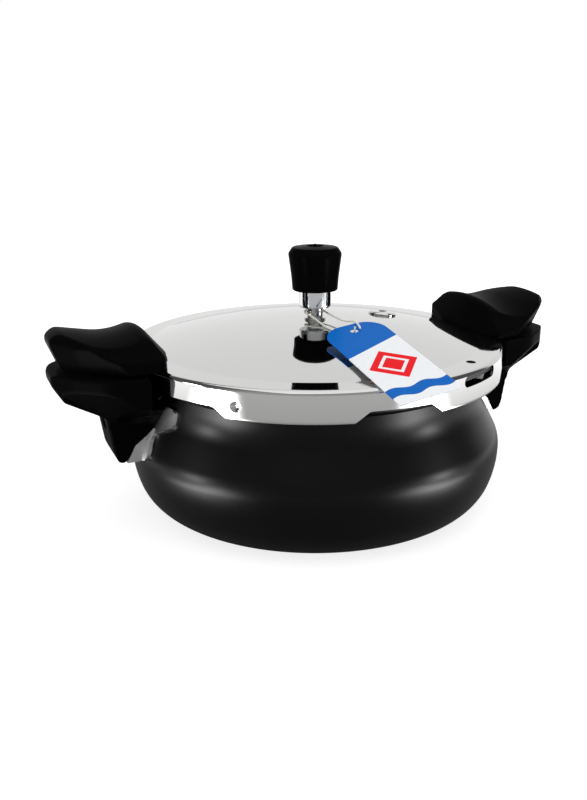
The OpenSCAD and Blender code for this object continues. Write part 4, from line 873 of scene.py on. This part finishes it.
# %% Room
world = bpy.data.worlds.new("studio")
bpy.context.scene.world = world
world.use_nodes = True
tree = world.node_tree
tree.nodes.clear()
direction = add(tree, "ShaderNodeTexCoord")
facing = add(tree, "ShaderNodeVectorMath", {1: FRONT}, {0: direction.outputs["Generated"]},
             operation="DOT_PRODUCT")
back_wall = add(tree, "ShaderNodeMapRange", {"From Min": -0.45, "From Max": -0.62, "To Min": 0.1, "To Max": 0.95},
                {"Value": facing.outputs["Value"]}, interpolation_type="SMOOTHSTEP")
front_wall = add(tree, "ShaderNodeMapRange", {"From Min": 0.3, "From Max": 0.8, "To Min": 0.0, "To Max": 0.3},
                 {"Value": facing.outputs["Value"]}, interpolation_type="SMOOTHSTEP")
shade = add(tree, "ShaderNodeMath", links={0: back_wall.outputs[0], 1: front_wall.outputs[0]}, operation="ADD")
grey = add(tree, "ShaderNodeCombineColor", links={0: shade.outputs[0], 1: shade.outputs[0], 2: shade.outputs[0]})
in_mirrors = add(tree, "ShaderNodeBackground", {"Strength": 1.0}, {"Color": grey.outputs[0]})
to_camera = add(tree, "ShaderNodeBackground", {"Color": (1, 1, 1, 1), "Strength": 1.0})
on_things = add(tree, "ShaderNodeBackground", {"Color": (1, 1, 1, 1), "Strength": 0.5})
rays = add(tree, "ShaderNodeLightPath")
mirror = add(tree, "ShaderNodeMath", links={0: rays.outputs["Is Glossy Ray"], 1: rays.outputs["Is Transmission Ray"]},
             operation="MAXIMUM")
first = add(tree, "ShaderNodeMixShader", links={0: mirror.outputs[0], 1: on_things.outputs[0],
                                                2: in_mirrors.outputs[0]})
second = add(tree, "ShaderNodeMixShader", links={0: rays.outputs["Is Camera Ray"], 1: first.outputs[0],
                                                 2: to_camera.outputs[0]})
add(tree, "ShaderNodeOutputWorld", links={"Surface": second.outputs[0]})

# %% Soft lights
LAMPS_AIM_AT, ABOVE_TABLE = 0.08, 0.002
SIDEWAYS, ALL_ROUND, EVEN = (1, 0, 0), (1, 1, 0), (0, 0, 0)


def area_lamp(name, width, height, power, fade):
    lamp = bpy.data.lights.new(name, "AREA")
    lamp.shape, lamp.size, lamp.size_y, lamp.energy = "RECTANGLE", width, height, power
    lamp.use_nodes = True
    tree = lamp.node_tree
    tree.nodes.clear()
    place = add(tree, "ShaderNodeNewGeometry")
    from_centre = add(tree, "ShaderNodeVectorMath", {1: fade, 2: tuple(-0.5 * f for f in fade)},
                      {0: place.outputs["Parametric"]}, operation="MULTIPLY_ADD")
    reach = add(tree, "ShaderNodeVectorMath", links={0: from_centre.outputs[0]}, operation="LENGTH")
    soft = add(tree, "ShaderNodeMapRange", {"From Min": 0.5, "From Max": 0.0},
               {"Value": reach.outputs["Value"]}, interpolation_type="SMOOTHSTEP")
    steep = add(tree, "ShaderNodeMath", {1: 2.0}, {0: soft.outputs[0]}, operation="POWER")
    glow = add(tree, "ShaderNodeEmission", links={"Strength": steep.outputs[0]})
    add(tree, "ShaderNodeOutputLight", links={"Surface": glow.outputs[0]})
    lamp_object = put(name, lamp)
    lamp_object.rotation_mode = "QUATERNION"
    return lamp_object


def stand(lamp_object, azimuth, elevation, distance):
    a, e = math.radians(azimuth), math.radians(elevation)
    towards = Vector((math.sin(a) * math.cos(e), -math.cos(a) * math.cos(e), math.sin(e)))
    lamp_object.location = Vector((0, 0, LAMPS_AIM_AT)) + towards * distance
    lamp_object.rotation_quaternion = (-towards).to_track_quat("-Z", "Y")


def lay_down(lamp_object, azimuth, distance):
    a = math.radians(azimuth)
    lamp_object.location = (distance * math.sin(a), -distance * math.cos(a), ABOVE_TABLE)
    lamp_object.rotation_quaternion = (Matrix.Rotation(a, 3, "Z") @ Matrix.Rotation(math.pi, 3, "X")).to_quaternion()
    lamp_object.visible_camera = lamp_object.visible_diffuse = False


stand(area_lamp("softbox left", 0.46, 0.5, 36, ALL_ROUND), -94, 3, 1.3)
stand(area_lamp("softbox right", 0.46, 0.5, 38, ALL_ROUND), 52, 3, 1.3)
stand(area_lamp("softbox above", 2.0, 2.0, 13, EVEN), 0, 80, 1.4)
lay_down(area_lamp("reflector left", 0.26, 0.4, 7.4, SIDEWAYS), -75, 0.39)
lay_down(area_lamp("reflector right", 0.26, 0.4, 7, SIDEWAYS), 33, 0.39)
bpy.context.scene.view_settings.view_transform = "Standard"
